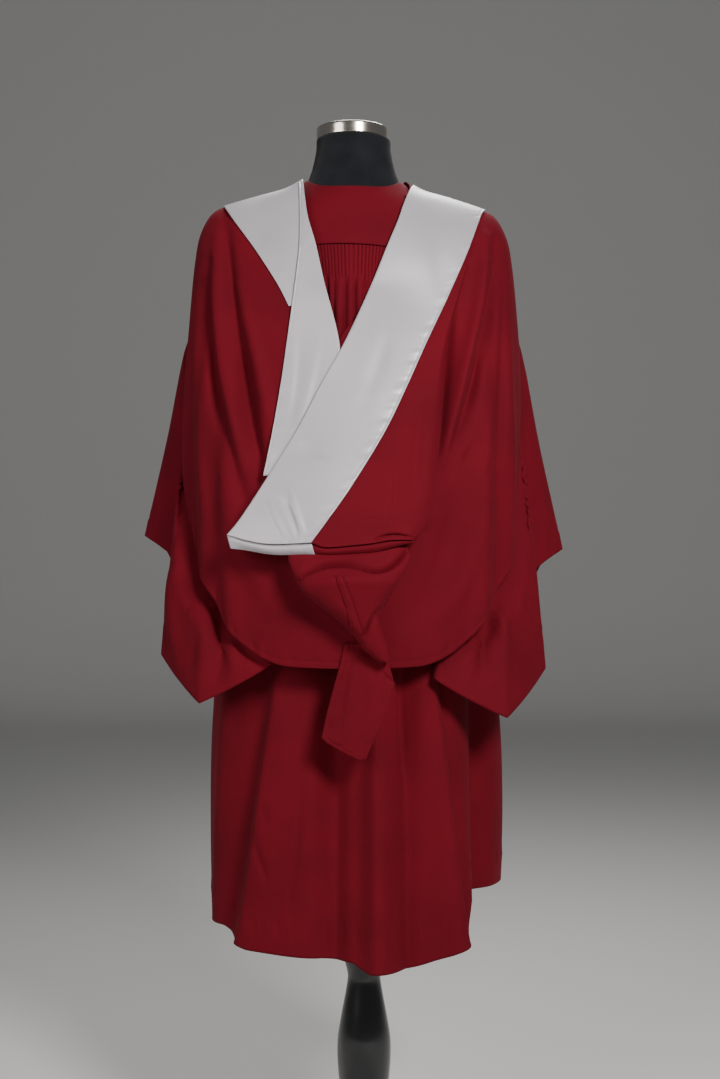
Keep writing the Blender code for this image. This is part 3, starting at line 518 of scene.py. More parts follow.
def lengths_from(points, edge):
    """Length of cloth from an edge, and along that edge, for each point."""
    if edge in ("left", "right"):
        points = np.swapaxes(points, 0, 1)
    if edge in ("top", "left"):
        points = points[::-1]
    down = np.linalg.norm(np.diff(points, axis=0), axis=2)[::-1]
    distance = np.concatenate([np.zeros((1, points.shape[1])), np.cumsum(down, axis=0)])[::-1]
    step = np.linalg.norm(np.diff(points[-1], axis=0), axis=1)
    along = np.concatenate([[0.0], np.cumsum(step)])[None, :] + 0 * distance
    if edge in ("top", "left"):
        distance, along = distance[::-1], along[::-1]
    if edge in ("left", "right"):
        distance, along = distance.T, along.T
    return distance, along


def hemmed(points, edge, hem, closed=False):
    """A turned hem: double cloth below a line of stitches, the stitches' groove, and
    puckers, which are the sum of three sines along the edge."""
    rise, depth, pucker = hem
    distance, along = lengths_from(points, edge)
    turn = 2 * math.pi * along
    waves = np.sin(turn / 0.034) + 0.7 * np.sin(turn / 0.0213 + 1.3) + 0.5 * np.sin(turn / 0.0117 + 0.5)
    near = np.exp(-((distance - rise) / 0.010) ** 2)
    height = 0.0006 * (1 - soft_step(distance, rise - 0.002, rise + 0.001))
    height = height - depth * np.exp(-((distance - rise) / 0.0016) ** 2) + pucker * waves * near
    return points + grid_normals(points, closed) * height[..., None]


def cape_point(angle, row, lift):
    """Point on the cape's surface, moved out along the normal."""
    angle, row = np.broadcast_arrays(np.asarray(angle, float), np.asarray(row, float))
    away = lift + cape_fold_height(angle, row)
    return (ring_point(CAPE_RINGS, CAPE_POWER, angle, row)
            + outward(CAPE_RINGS, CAPE_POWER, angle, row) * away[..., None])


def gown_point(angle, row, lift=-GOWN_INSET):
    """Point on the gown's surface with its skirt folds."""
    angle, row = np.broadcast_arrays(np.asarray(angle, float), np.asarray(row, float))
    share = np.clip((row - 8.0) / (HEM_ROW - 8.0), 0.0, 1.0)
    away = lift + fold_height(angle, SKIRT_FOLDS, share) * soft_step(row, SKIRT_FOLDS_FROM_ROW, SKIRT_FOLDS_FULL_ROW)
    away = away + fold_height(angle, BACK_FOLDS, share) * soft_step(row, 4.3, 5.6) * (1 - soft_step(row, 6.5, 8.0))
    point = (ring_point(GOWN_RINGS, GOWN_POWER, angle, row)
             + outward(GOWN_RINGS, GOWN_POWER, angle, row) * away[..., None])
    shift = np.interp(angle, HEM_SHIFT[:, 0], HEM_SHIFT[:, 1])
    point[..., 2] += shift * soft_step(row, HEM_SHIFT_FROM_ROW, HEM_ROW)
    return point


def find_on_cape(x, z):
    """Angle and ring of the cape's back seen at x and z, by halving the rows."""
    low = np.zeros_like(x)
    high = np.full_like(x, len(CAPE_RINGS) - 1.0)
    for _ in range(40):
        row = (low + high) / 2
        half_width = through(CAPE_RINGS, row)[..., 0]
        sine = signed_power(np.clip((x - CENTRE_X) / half_width, -1, 1), 1 / CAPE_POWER)
        angle = np.degrees(np.arcsin(sine))
        above = ring_point(CAPE_RINGS, CAPE_POWER, angle, row)[..., 2] > z
        low = np.where(above, row, low)
        high = np.where(above, high, row)
    return angle, row


def ring_radius(rings, power, point):
    """Distance from the axis to some points, and to a ringed surface behind each."""
    across = point[:, 0] - CENTRE_X
    along = -point[:, 1]
    radius = np.hypot(across, along)
    rows = np.linspace(0, len(rings) - 1, ROW_SAMPLES)
    sizes = through(rings, rows)
    ridge = (np.abs(across / radius) ** (RIDGE_POWER / power))[:, None]
    middle_z = np.where(along[:, None] >= 0, sizes[None, :, 3], sizes[None, :, 5])
    heights = sizes[None, :, 1] * ridge + middle_z * (1 - ridge)
    nearest = np.argmin(np.abs(heights - point[:, 2:3]), axis=1)
    size = sizes[nearest]
    depth = np.where(along >= 0, size[:, 2], size[:, 4])
    sharpness = 2 / power
    reach = (np.abs(across / radius / size[:, 0]) ** sharpness
             + np.abs(along / radius / depth) ** sharpness) ** (-1 / sharpness)
    return radius, reach, rows[nearest], size, depth


# Meshes

def cloth_mesh(name, points, closed=False, flip=False):
    """Mesh of a grid of points, with a map of its lengths in metres."""
    rows, columns = points.shape[:2]
    if closed:
        points = np.concatenate([points, points[:, :1]], axis=1)
    across = np.linalg.norm(np.diff(points, axis=1), axis=2)
    along = np.linalg.norm(np.diff(points, axis=0), axis=2)
    across_map = np.zeros(points.shape[:2])
    along_map = np.zeros(points.shape[:2])
    across_map[:, 1:] = np.cumsum(np.broadcast_to(across.mean(axis=0), across.shape), axis=1)
    along_map[1:] = np.cumsum(np.broadcast_to(along.mean(axis=1, keepdims=True), along.shape), axis=0)
    index = np.arange(rows * columns).reshape(rows, columns)
    if closed:
        index = np.concatenate([index, index[:, :1]], axis=1)
        points = points[:, :-1]
    corners = [(0, 0), (1, 0), (1, 1), (0, 1)]
    if flip:
        corners = corners[::-1]
    cells = (index.shape[0] - 1, index.shape[1] - 1)
    pick = [(slice(down, down + cells[0]), slice(right, right + cells[1])) for down, right in corners]
    loops = np.stack([index[place] for place in pick], axis=-1).reshape(-1)
    map_values = np.stack([np.stack([across_map[place], along_map[place]], axis=-1) for place in pick], axis=-2)
    mesh = bpy.data.meshes.new(name)
    mesh.vertices.add(rows * columns)
    mesh.vertices.foreach_set("co", np.ascontiguousarray(points, dtype=np.float32).reshape(-1))
    mesh.loops.add(len(loops))
    mesh.loops.foreach_set("vertex_index", loops.astype(np.int32))
    mesh.polygons.add(len(loops) // 4)
    mesh.polygons.foreach_set("loop_start", np.arange(0, len(loops), 4, dtype=np.int32))
    mesh.update(calc_edges=True)
    layer = mesh.uv_layers.new(name="lengths")
    layer.uv.foreach_set("vector", map_values.astype(np.float32).reshape(-1))
    mesh.shade_smooth()
    mesh.validate()
    return mesh


def linked_object(name, data):
    """New object of some data, in the scene."""
    made = bpy.data.objects.new(name, data)
    bpy.context.scene.collection.objects.link(made)
    return made


def add_cloth(name, points, material, replaced, thickness,
              closed=False, flip=False):
    """A sheet of cloth as an object: the grid, thickened away from the body."""
    mesh = cloth_mesh(name, points, closed, flip)
    mesh.materials.append(bpy.data.materials[material[0]])
    piece = linked_object(name, mesh)
    wall = piece.modifiers.new("Wall", "SOLIDIFY")
    wall.thickness = thickness
    wall.offset = 1.0
    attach(piece, "root")
    if replaced:
        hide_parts(replaced)


def add_rigid(name, points, material, replaced):
    """A closed ringed surface as an object."""
    mesh = cloth_mesh(name, points, closed=True)
    mesh.materials.append(material)
    piece = linked_object(name, mesh)
    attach(piece, "root")
    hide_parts(replaced)


JERSEY = "black cotton jersey"
STEEL = "polished steel"
GLOSS_PAINT = "black gloss paint on wood"
PAPER = "pale studio paper"
RED_CLOTH = ("worsted gown cloth", "red_cloth")
SATIN = ("duchess satin", "grey_satin")
# distance of a hem's stitches from the edge, depth of their groove, height of puckers
GOWN_HEM = (0.044, 0.0010, 0.0007)
SLEEVE_HEM = (0.030, 0.0009, 0.0006)
CAPE_HEM = (0.009, 0.0008, 0.0006)
BAND_HEM = (0.004, 0.0004, 0.0003)
STRIP_HEM = (0.0022, 0.0006, 0.0002)
TAPE_HEM = (0.0020, 0.0009, 0.0002)
TAIL_LEFT_HEM = (0.008, 0.0009, 0.0003)
TAIL_RIGHT_HEM = (0.003, 0.0006, 0.0002)
CLOTH_WALL = 0.0013
SATIN_WALL = 0.0012
TAPE_WALL = 0.0006
TAPE_LIFT = 0.0022


# Form and stand

def torso_points():
    """Rings from the neck to the seat, drawn in to a dot at both ends."""
    spin = np.linspace(-180, 180, 150, endpoint=False)[None, :]
    rings = ring_point(FORM_RINGS, FORM_POWER, spin, np.linspace(0, len(FORM_RINGS) - 1, 180)[:, None])
    ends = rings[[0, -1]]
    middles = ends.mean(axis=1, keepdims=True)
    ends = middles + (ends - middles) * END_DOT
    return np.concatenate([ends[:1], rings, ends[1:]])


def turned_points(outline, centre_x, rows):
    """A turned outline on a smooth curve, swept round the upright axis."""
    spin = np.radians(np.linspace(-180, 180, 96, endpoint=False))[None, :]
    line = through(outline, np.linspace(0, len(outline) - 1, rows))
    radius = line[:, 0:1]
    return np.stack([centre_x + radius * np.sin(spin), -radius * np.cos(spin), line[:, 1:2] + 0 * spin], axis=-1)


# Gown

def armhole_half_angle(row):
    """Half an ellipse over the rows from the shoulder to the underarm."""
    middle = (YOKE_ROW + UNDERARM_ROW) / 2
    half = (UNDERARM_ROW - YOKE_ROW) / 2
    inside = 1 - ((np.asarray(row, float) - middle) / half) ** 2
    return ARMHOLE_HALF_ANGLE * np.sqrt(np.clip(inside, 0.0, 1.0))


def yoke_points():
    """The gown's surface from the neck to the yoke seam, turned in at the neck."""
    angles = np.linspace(-96, 96, 141)[None, :]
    rows = np.linspace(0, 1, 48)[:, None] * (YOKE_ROW - 0.02 + seam_bow(angles))
    return gown_point(angles, rows)


def seam_bow(angles):
    """How many rings the yoke's seam dips on either side of its top, as a parabola."""
    return 0.17 * np.clip(np.abs(angles + 3.0) / 22.0, 0.0, 1.2) ** 2


def back_points():
    """The gown's surface below the yoke seam. Each pleat is a rounded ridge, the
    power of a cosine, which fades below the gathering."""
    seen = np.linspace(-0.50, 0.36, 221)
    left = np.linspace(-1.0, -0.50, 50)[:-1]
    right = np.linspace(0.36, 1.0, 60)[1:]
    places = np.concatenate([left, seen, right])
    rows = np.concatenate([np.linspace(3.34, 5.2, 44)[:-1], np.linspace(5.2, HEM_ROW, 88)])
    half = 90.0 - armhole_half_angle(rows)[:, None]
    top = np.degrees(np.arcsin(places[None, :] * np.sin(np.radians(half))))
    blend = soft_step(rows, 4.6, 9.0)[:, None]
    angles = (1 - blend) * top + blend * half * places[None, :]
    phase = places[None, :] / FLUTE_SHARE * FLUTES / 2
    ridge = np.abs(np.cos(math.pi * (phase - 0.5))) ** 0.7
    inside = np.abs(places[None, :]) < FLUTE_SHARE
    height = PLEAT_HEIGHT * (1 - soft_step(rows, 4.2, 4.8))[:, None]
    loose = np.abs(np.cos(math.pi * (phase / 2.7 + 0.16 * np.sin(phase * 0.83) + 0.3))) ** 1.3
    falling = (soft_step(rows, 4.1, 4.8) * (1 - soft_step(rows, 5.8, 8.6)))[:, None]
    lift = height * ridge * inside + LOOSE_FOLD_HEIGHT * loose * falling * inside
    bow = seam_bow(angles) * (1 - soft_step(rows, 3.34, 4.8))[:, None]
    points = gown_point(angles, rows[:, None] + bow, -GOWN_INSET + lift)
    return hemmed(creased(points, SKIRT_CREASES), "bottom", GOWN_HEM)


def front_points(side):
    """The gown's surface from the side seam to the front edge."""
    rows = np.linspace(0, HEM_ROW, 130)
    shoulder = 96.6 - 6.58 * soft_step(rows, 6.0, 7.0)
    start = np.maximum(shoulder, 90.0 + armhole_half_angle(rows))[:, None]
    end = (146.0 + 21.0 * soft_step(rows, 0.0, 4.5))[:, None]
    share = np.linspace(0, 1, 50)[None, :]
    points = gown_point(side * (start + (end - start) * share), rows[:, None] + 0 * share)
    return hemmed(creased(points, FRONT_CREASES, side=1), "bottom", GOWN_HEM)


def clear_of_layers(points):
    """Sleeve points moved out of the gown's body and in under the cape."""
    radius, reach, row, size, depth = ring_radius(GOWN_RINGS, GOWN_POWER, points)
    angle = np.degrees(np.arctan2(points[..., 0] - CENTRE_X, -points[..., 1]))
    share = np.clip((row - 8.0) / (HEM_ROW - 8.0), 0.0, 1.0)
    folds = fold_height(angle, SKIRT_FOLDS, share) * soft_step(row, SKIRT_FOLDS_FROM_ROW, SKIRT_FOLDS_FULL_ROW)
    target = np.maximum(radius, reach + BODY_ROOM + np.clip(folds, 0, None))
    _, cape_reach, row, size, depth = ring_radius(CAPE_RINGS, CAPE_POWER, points)
    across = np.abs(points[..., 0] - CENTRE_X) / size[..., 0]
    along = -points[..., 1] / depth
    angle = np.degrees(np.arctan2(across ** (1 / CAPE_POWER), signed_power(along, 1 / CAPE_POWER)))
    below = row - np.interp(angle, CAPE_EDGE[:, 0], CAPE_EDGE[:, 1]) - EDGE_MARGIN
    limit = cape_reach - CAPE_ROOM + 0.10 * np.clip(below, 0, None)
    target = np.where(angle < 130, np.minimum(target, limit), target)
    scale = target / radius
    moved = points.copy()
    moved[..., 0] = CENTRE_X + (points[..., 0] - CENTRE_X) * scale
    moved[..., 1] = points[..., 1] * scale
    return moved


def sleeve_loop(ring, places, straightness):
    """Closed curve through a ring's places, pulled straight between them by a share."""
    wrapped = np.concatenate([ring[-1:], ring, ring[:2]])
    first = np.floor(places).astype(int)
    share = (places - first)[:, None]
    straight = wrapped[first + 1] * (1 - share) + wrapped[first + 2] * share
    return through(wrapped, places + 1) * (1 - straightness) + straight * straightness


def sleeve_points(side, drop):
    """Loops from the armhole to the hem, joined by smooth curves down the sleeve."""
    count = SLEEVE_RINGS.shape[1]
    places = np.linspace(0, count, 140, endpoint=False)
    spin = np.radians(np.interp(places, np.arange(count + 1), ARMHOLE_PLACES + (360,)))
    middle = (YOKE_ROW + UNDERARM_ROW) / 2
    half = (UNDERARM_ROW - YOKE_ROW) / 2
    hole_rows = middle - half * SLEEVE_EASE * np.cos(spin)
    hole_angles = 90 - ARMHOLE_HALF_ANGLE * SLEEVE_EASE * np.sin(spin)
    loops = [gown_point(side * hole_angles, hole_rows)]
    for index, (ring, straightness) in enumerate(zip(SLEEVE_RINGS, SLEEVE_CORNERS)):
        loop = sleeve_loop(ring, places, straightness)
        loop[:, 0] = CENTRE_X + side * loop[:, 0]
        loop[:, 2] -= drop * index / (len(SLEEVE_RINGS) - 1)
        loops.append(loop)
    flat = np.stack(loops).reshape(len(loops), -1)
    down = np.linspace(0, len(loops) - 1, 120)
    points = through(flat, down).reshape(len(down) * len(places), 3)
    share = np.repeat(soft_step(down, 0.0, 0.6), len(places))[:, None]
    points = points * (1 - share) + clear_of_layers(points) * share
    points = points.reshape(len(down), len(places), 3)
    creases = RIGHT_SLEEVE_CREASES if side > 0 else LEFT_SLEEVE_CREASES
    return hemmed(creased(points, creases, closed=True), "bottom", SLEEVE_HEM, closed=True)


# Hood

def cape_points():
    """The cape between its neck line and its hem, with more columns where the hem
    climbs the sides."""
    signed = np.array([-angle for angle in CAPE_HALF_ANGLES[:0:-1]] + list(CAPE_HALF_ANGLES), dtype=float)
    angles = np.interp(np.linspace(0, len(signed) - 1, 249), np.arange(len(signed)), signed)
    from_middle = np.abs(angles - CAPE_TOP_ANGLE * (1 - soft_step(np.abs(angles), 40, 80)))
    top = np.interp(from_middle, CAPE_TOP[:, 0], CAPE_TOP[:, 1])
    edge = through(CAPE_EDGE[:, 1:], np.interp(np.abs(angles), CAPE_EDGE[:, 0], np.arange(len(CAPE_EDGE))))[:, 0]
    share = np.linspace(0, 1, 184)[:, None]
    rows = top[None, :] + (edge - top)[None, :] * share
    points = cape_point(angles[None, :] + 0 * rows, rows, CAPE_LIFT)
    return hemmed(creased(points, CAPE_CREASES), "bottom", CAPE_HEM)


def strip_points(table, length_cells, width_cells, creases):
    """A strip between two edges that are given as seen from the back."""
    line = through(table, np.linspace(0, len(table) - 1, length_cells + 1))
    inner_angle, inner_row = find_on_cape(line[:, 0], line[:, 1])
    outer_angle, outer_row = find_on_cape(line[:, 2], line[:, 3])
    share = np.linspace(0, 1, width_cells + 1)[None, :]
    angle = inner_angle[:, None] + (outer_angle - inner_angle)[:, None] * share
    row = inner_row[:, None] + (outer_row - inner_row)[:, None] * share
    points = cape_point(angle, row, np.broadcast_to(line[:, 4:5], angle.shape))
    points[..., 1] -= line[:, 5:6]
    return creased(points, creases)


def rolled_edge(points):
    """The right fifth of a strip, bent in towards the body in a parabola."""
    share = np.linspace(0, 1, points.shape[1])[None, :]
    points[..., 1] += COWL_ROLL * np.clip((share - 0.78) / 0.22, 0, 1) ** 2
    return points


def let_down(points, drops):
    """The last eighth of a strip, let down by a table's drops across its width."""
    rows, columns = points.shape[:2]
    across = through(drops, np.linspace(0, len(drops) - 1, columns))[:, 0]
    points[..., 2] -= soft_step(np.linspace(0, 1, rows), 0.88, 1.0)[:, None] * across
    return points


def turned_up_points(edge, shape, slant):
    """A narrow strip folded back below an edge: half a sine swells it out, and its
    lower edge lies further right by the slant."""
    sizes = through(shape, np.linspace(0, len(shape) - 1, len(edge)))
    drop = np.linspace(0, 1, 17)[:, None]
    points = np.repeat(edge[None], len(drop), axis=0).copy()
    points[..., 0] += slant * drop
    points[..., 1] += 0.0050 - sizes[:, 1] * np.sin(math.pi * drop) + 0.0020 * drop * drop
    points[..., 2] -= 0.0006 + sizes[:, 0] * drop
    return points


def front_band_points(side):
    """A strip on the cape's front, between two edges given as angles and rings."""
    line = through(FRONT_BAND, np.linspace(0, len(FRONT_BAND) - 1, 91))
    share = np.linspace(0, 1, 31)[None, :]
    angle = line[:, 0:1] + (line[:, 2:3] - line[:, 0:1]) * share
    row = line[:, 1:2] + (line[:, 3:4] - line[:, 1:2]) * share
    return cape_point(side * angle, row, SATIN_LIFT)


def pouch_points():
    """Flattened rings from the cowl down to the tail."""
    spin = np.linspace(0, 2 * np.pi, 150, endpoint=False)[None, :]
    line = through(POUCH, np.linspace(0, len(POUCH) - 1, 124))
    z, left, right, near, far = (line[:, column:column + 1] for column in range(5))
    x = (left + right) / 2 + (right - left) / 2 * signed_power(np.cos(spin), 0.9)
    y = (near + far) / 2 + (far - near) / 2 * signed_power(np.sin(spin), 0.8)
    return creased(np.stack([x, y, z + 0 * x], axis=-1), POUCH_CREASES, closed=True)


def pouch_tape_points():
    """A tape on the pouch's front, which is the same flattened ring, and follows its
    creases."""
    line = through(POUCH_TAPE, np.linspace(0, len(POUCH_TAPE) - 1, 90))
    share = np.linspace(0, 1, 25)[None, :]
    x = line[:, 0:1] + (line[:, 2:3] - line[:, 0:1]) * share
    z = line[:, 1:2] + (line[:, 3:4] - line[:, 1:2]) * share
    rings = through(POUCH, np.linspace(0, len(POUCH) - 1, ROW_SAMPLES))
    left, right, near, far = (np.interp(-z, -rings[:, 0], rings[:, column]) for column in (1, 2, 3, 4))
    cosine = signed_power(np.clip((2 * x - left - right) / (right - left), -1, 1), 1 / 0.9)
    y = (near + far) / 2 - (far - near) / 2 * np.sqrt(1 - cosine ** 2) ** 0.8
    points = creased(np.stack([x, y - TAPE_LIFT, z], axis=-1), POUCH_CREASES)
    return hemmed(hemmed(points, "left", TAPE_HEM), "right", TAPE_HEM)


def tail_points():
    """A flat panel with straight edges between the table's corners."""
    share = np.linspace(0, 1, 52)[None, :]
    places = np.linspace(0, len(TAIL) - 1, 121)
    line = np.column_stack([np.interp(places, np.arange(len(TAIL)), column) for column in TAIL.T])
    x = line[:, 1:2] + (line[:, 2:3] - line[:, 1:2]) * share
    y = line[:, 3:4] - TAIL_BOW * np.sin(np.pi * share)
    points = creased(np.stack([x, y, line[:, 0:1] + 0 * x], axis=-1), TAIL_CREASES)
    return hemmed(hemmed(points, "left", TAIL_LEFT_HEM), "right", TAIL_RIGHT_HEM)


# Materials

def srgb(code):
    """Linear colour of an sRGB hex code."""
    values = [int(code[place:place + 2], 16) / 255 for place in (1, 3, 5)]
    return tuple(v / 12.92 if v <= 0.04045 else ((v + 0.055) / 1.055) ** 2.4 for v in values) + (1.0,)


def add_node(tree, kind, settings=(), inputs=(), links=()):
    """One node: its settings, its input values and the sockets that feed it."""
    made = tree.nodes.new(kind)
    for name, value in dict(settings).items():
        setattr(made, name, value)
    for name, value in dict(inputs).items():
        made.inputs[name].default_value = value
    for name, socket in dict(links).items():
        tree.links.new(socket, made.inputs[name])
    return made


def new_material(name):
    """Tree and shader of a new node material."""
    material = bpy.data.materials.new(name)
    material.use_nodes = True
    tree = material.node_tree
    return tree, tree.nodes["Principled BSDF"]


def object_place(tree):
    """Place on the object, in metres."""
    return add_node(tree, "ShaderNodeTexCoord").outputs["Object"]


def noise(tree, place, scale, detail):
    """Noise of a scale in waves a metre."""
    made = add_node(tree, "ShaderNodeTexNoise", (), {"Scale": scale, "Detail": detail}, {"Vector": place})
    return made.outputs["Fac"]


def shade_ramp(tree, factor, dark, light):
    """Colour that runs from a dark tone to a light one over the middle of a noise."""
    ramp = add_node(tree, "ShaderNodeValToRGB", links={"Fac": factor})
    for stop, position, code in zip(ramp.color_ramp.elements, (0.3, 0.7), (dark, light)):
        stop.position = position
        stop.color = srgb(code)
    return ramp.outputs["Color"]


def rough_range(tree, factor, low, high):
    """A noise turned into a range of roughness."""
    made = add_node(tree, "ShaderNodeMapRange", (), {"To Min": low, "To Max": high}, {"Value": factor})
    return made.outputs["Result"]


def weave_height(tree, thread_mm, slub_mm):
    """Height of a plain weave: two crossed sets of waves and a slow slub."""
    lengths = add_node(tree, "ShaderNodeUVMap", {"uv_map": "lengths"}).outputs["UV"]
    waves = [add_node(
        tree, "ShaderNodeTexWave", {"wave_type": "BANDS", "bands_direction": direction},
        {"Scale": 1000.0 / thread_mm / 20.0 * math.pi, "Distortion": 0.6, "Detail": 1.0},
        {"Vector": lengths}).outputs["Fac"] for direction in ("X", "Y")]
    crossed = add_node(tree, "ShaderNodeMath", {"operation": "MULTIPLY"}, (), dict(enumerate(waves)))
    slub = noise(tree, lengths, 1000.0 / slub_mm, 3.0)
    return add_node(tree, "ShaderNodeMath", {"operation": "ADD"}, (), {0: crossed.outputs[0], 1: slub}).outputs[0]


def finish_shader(tree, shader, height, strength, distance, links, values):
    """Bumps of that height, the sockets that feed the shader, and its plain values."""
    bump = add_node(tree, "ShaderNodeBump", (), {"Strength": strength, "Distance": distance}, {"Height": height})
    tree.links.new(bump.outputs["Normal"], shader.inputs["Normal"])
    for name, socket in links.items():
        tree.links.new(socket, shader.inputs[name])
    for name, value in values.items():
        shader.inputs[name].default_value = value


def make_gown_cloth(colours):
    """Worsted-look polyester, piece dyed: matt, deep, with a short nap that
    catches the light at the edge of each fold."""
    tree, shader = new_material(RED_CLOTH[0])
    cloud = noise(tree, object_place(tree), 9.0, 4.0)
    colour = shade_ramp(tree, cloud, colours.cloth_dark, colours.cloth_light)
    # the real yarn is 0.3 mm apart, too fine to show, so it is drawn at 1.3 mm
    finish_shader(tree, shader, weave_height(tree, 1.3, 6.0), 0.16, 0.0004, {"Base Color": colour}, {
        "Roughness": 0.85, "Specular IOR Level": 0.15, "Sheen Weight": 0.10, "Sheen Roughness": 0.45,
        "Sheen Tint": srgb("#C8505A")})


def make_satin(colours):
    """Polyester satin with long floats: smooth, with a broad soft gleam."""
    tree, shader = new_material(SATIN[0])
    cloud = noise(tree, object_place(tree), 7.0, 3.0)
    colour = shade_ramp(tree, cloud, colours.satin_dark, colours.satin_light)
    # floats lie 0.2 mm apart in the real satin and are drawn at 1.1 mm
    finish_shader(tree, shader, weave_height(tree, 1.1, 14.0), 0.07, 0.0003, {"Base Color": colour}, {
        "Roughness": 0.38, "Anisotropic": 0.5, "Specular IOR Level": 1.0, "Sheen Weight": 0.15,
        "Sheen Roughness": 0.35})


def make_jersey(colours):
    """Black cotton jersey: a fine knit, drawn at 1.6 mm a stitch, quite matt."""
    tree, shader = new_material(JERSEY)
    place = object_place(tree)
    knit = add_node(tree, "ShaderNodeTexVoronoi", (), {"Scale": 1000.0 / 1.6}, {"Vector": place})
    colour = shade_ramp(tree, noise(tree, place, 30.0, 4.0), "#0C0D10", colours.jersey)
    finish_shader(tree, shader, knit.outputs["Distance"], 0.35, 0.0004, {"Base Color": colour}, {
        "Roughness": 0.92, "Specular IOR Level": 0.2, "Sheen Weight": 0.1})


def make_polished_steel():
    """Spun and polished steel: faint rings from turning, a few fine scuffs."""
    tree, shader = new_material(STEEL)
    stretch = add_node(tree, "ShaderNodeMapping", (), {"Scale": (20.0, 20.0, 900.0)},
                       {"Vector": object_place(tree)})
    scuff = noise(tree, stretch.outputs["Vector"], 1.0, 5.0)
    finish_shader(tree, shader, scuff, 0.05, 0.0002, {"Roughness": rough_range(tree, scuff, 0.12, 0.24)}, {
        "Base Color": srgb("#CFC4B8"), "Metallic": 1.0})


def make_gloss_paint(colours):
    """Black gloss paint over turned wood: a clear, slightly wavy gloss with dust."""
    tree, shader = new_material(GLOSS_PAINT)
    place = object_place(tree)
    wear = noise(tree, place, 14.0, 6.0)
    colour = shade_ramp(tree, wear, "#08080A", colours.post)
    finish_shader(tree, shader, noise(tree, place, 160.0, 2.0), 0.05, 0.0004,
                  {"Base Color": colour, "Roughness": rough_range(tree, wear, 0.14, 0.32)},
                  {"Coat Weight": 0.4, "Coat Roughness": 0.08})


def make_stage_paper():
    """Plain matt paper for the floor and the wall behind."""
    tree, shader = new_material(PAPER)
    shader.inputs["Base Color"].default_value = srgb("#D2D0CC")
    shader.inputs["Roughness"].default_value = 0.9


def repaint(node, material):
    """Gives a CAD node its finish."""
    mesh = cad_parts[node].data
    if not mesh.materials:
        mesh.materials.append(material)
    for index in range(len(mesh.materials)):
        mesh.materials[index] = material


# Properties, operators and panel

# name, place, height of what it is turned to, size
LIGHTS = (
    ("key light", (1.1, -2.4, 2.40), 1.1, 0.8),
    ("fill light", (-2.2, -2.4, 1.9), 1.3, 1.8),
    ("top light", (0.2, 1.3, 3.0), 1.3, 1.2),
)

class GownColours(bpy.types.PropertyGroup):
    """Colours of the pieces, as sRGB hex codes."""
    cloth_dark: bpy.props.StringProperty(
        name="Cloth, dark", description="Darker tone of the red cloth", default="#5A0413")
    cloth_light: bpy.props.StringProperty(
        name="Cloth, light", description="Lighter tone of the red cloth", default="#660617")
    satin_dark: bpy.props.StringProperty(
        name="Satin, dark", description="Darker tone of the grey satin", default="#A9A3A7")
    satin_light: bpy.props.StringProperty(
        name="Satin, light", description="Lighter tone of the grey satin", default="#B8B1B4")
    jersey: bpy.props.StringProperty(
        name="Jersey", description="Lighter tone of the form's cover", default="#17181C")
    post: bpy.props.StringProperty(
        name="Post", description="Lighter tone of the post's paint", default="#101012")


class StudioSettings(bpy.types.PropertyGroup):
    """Camera and lights."""
    camera_x: bpy.props.FloatProperty(
        name="Camera across", description="Camera's place across the back", default=-0.0066, unit="LENGTH")
    camera_distance: bpy.props.FloatProperty(
        name="Camera distance", description="From the stand's axis", default=2.62, min=0.5, unit="LENGTH")
    camera_height: bpy.props.FloatProperty(
        name="Camera height", description="Above the floor", default=1.0, min=0.0, unit="LENGTH")
    lens: bpy.props.FloatProperty(
        name="Lens", description="Focal length for a 36 mm long side", default=53.4, min=10.0, unit="CAMERA")
    key_power: bpy.props.FloatProperty(
        name="Key light", description="Power of the main soft light", default=96.0, min=0.0, unit="POWER")
    fill_power: bpy.props.FloatProperty(
        name="Fill light", description="Power of the fill light", default=42.0, min=0.0, unit="POWER")


class GOWN_OT_materials(bpy.types.Operator):
    """Make the cloth, satin, jersey, steel, paint and stage paper"""
    bl_idname = "gown.materials"
    bl_label = "Materials"

    def execute(self, context):
        colours = context.scene.gown_colours
        make_gown_cloth(colours)
        make_satin(colours)
        make_jersey(colours)
        make_polished_steel()
        make_gloss_paint(colours)
        make_stage_paper()
        return {"FINISHED"}


class GOWN_OT_form(bpy.types.Operator):
    """Make the dress form, its neck cap and the turned stand"""
    bl_idname = "gown.form"
    bl_label = "Form and stand"

    def execute(self, context):
        jersey, steel, paint = (bpy.data.materials[name] for name in (JERSEY, STEEL, GLOSS_PAINT))
        add_rigid("torso_jersey", torso_points(), jersey, "form_torso")
        add_rigid("neck_cap_steel", turned_points(NECK_CAP, NECK_CAP_X, 80), steel, "form_neck_cap")
        add_rigid("post_paint", turned_points(POST, 0.0, 220), paint, "stand_post")
        add_rigid("base_paint", turned_points(BASE, 0.0, 120), paint, "stand_base")
        repaint("stand_pole", steel)
        return {"FINISHED"}


class GOWN_OT_body(bpy.types.Operator):
    """Make the yoke, the pleated back and the two fronts"""
    bl_idname = "gown.body"
    bl_label = "Gown body"

    def execute(self, context):
        add_cloth("yoke_cloth", yoke_points(), RED_CLOTH, "gown_yoke",
                  CLOTH_WALL)
        add_cloth("back_cloth", back_points(), RED_CLOTH, "gown_back",
                  CLOTH_WALL)
        for name, side in (("front_right_cloth", 1), ("front_left_cloth", -1)):
            add_cloth(name, front_points(side), RED_CLOTH, "gown_" + name[:-6],
                      CLOTH_WALL, flip=side < 0)
        return {"FINISHED"}


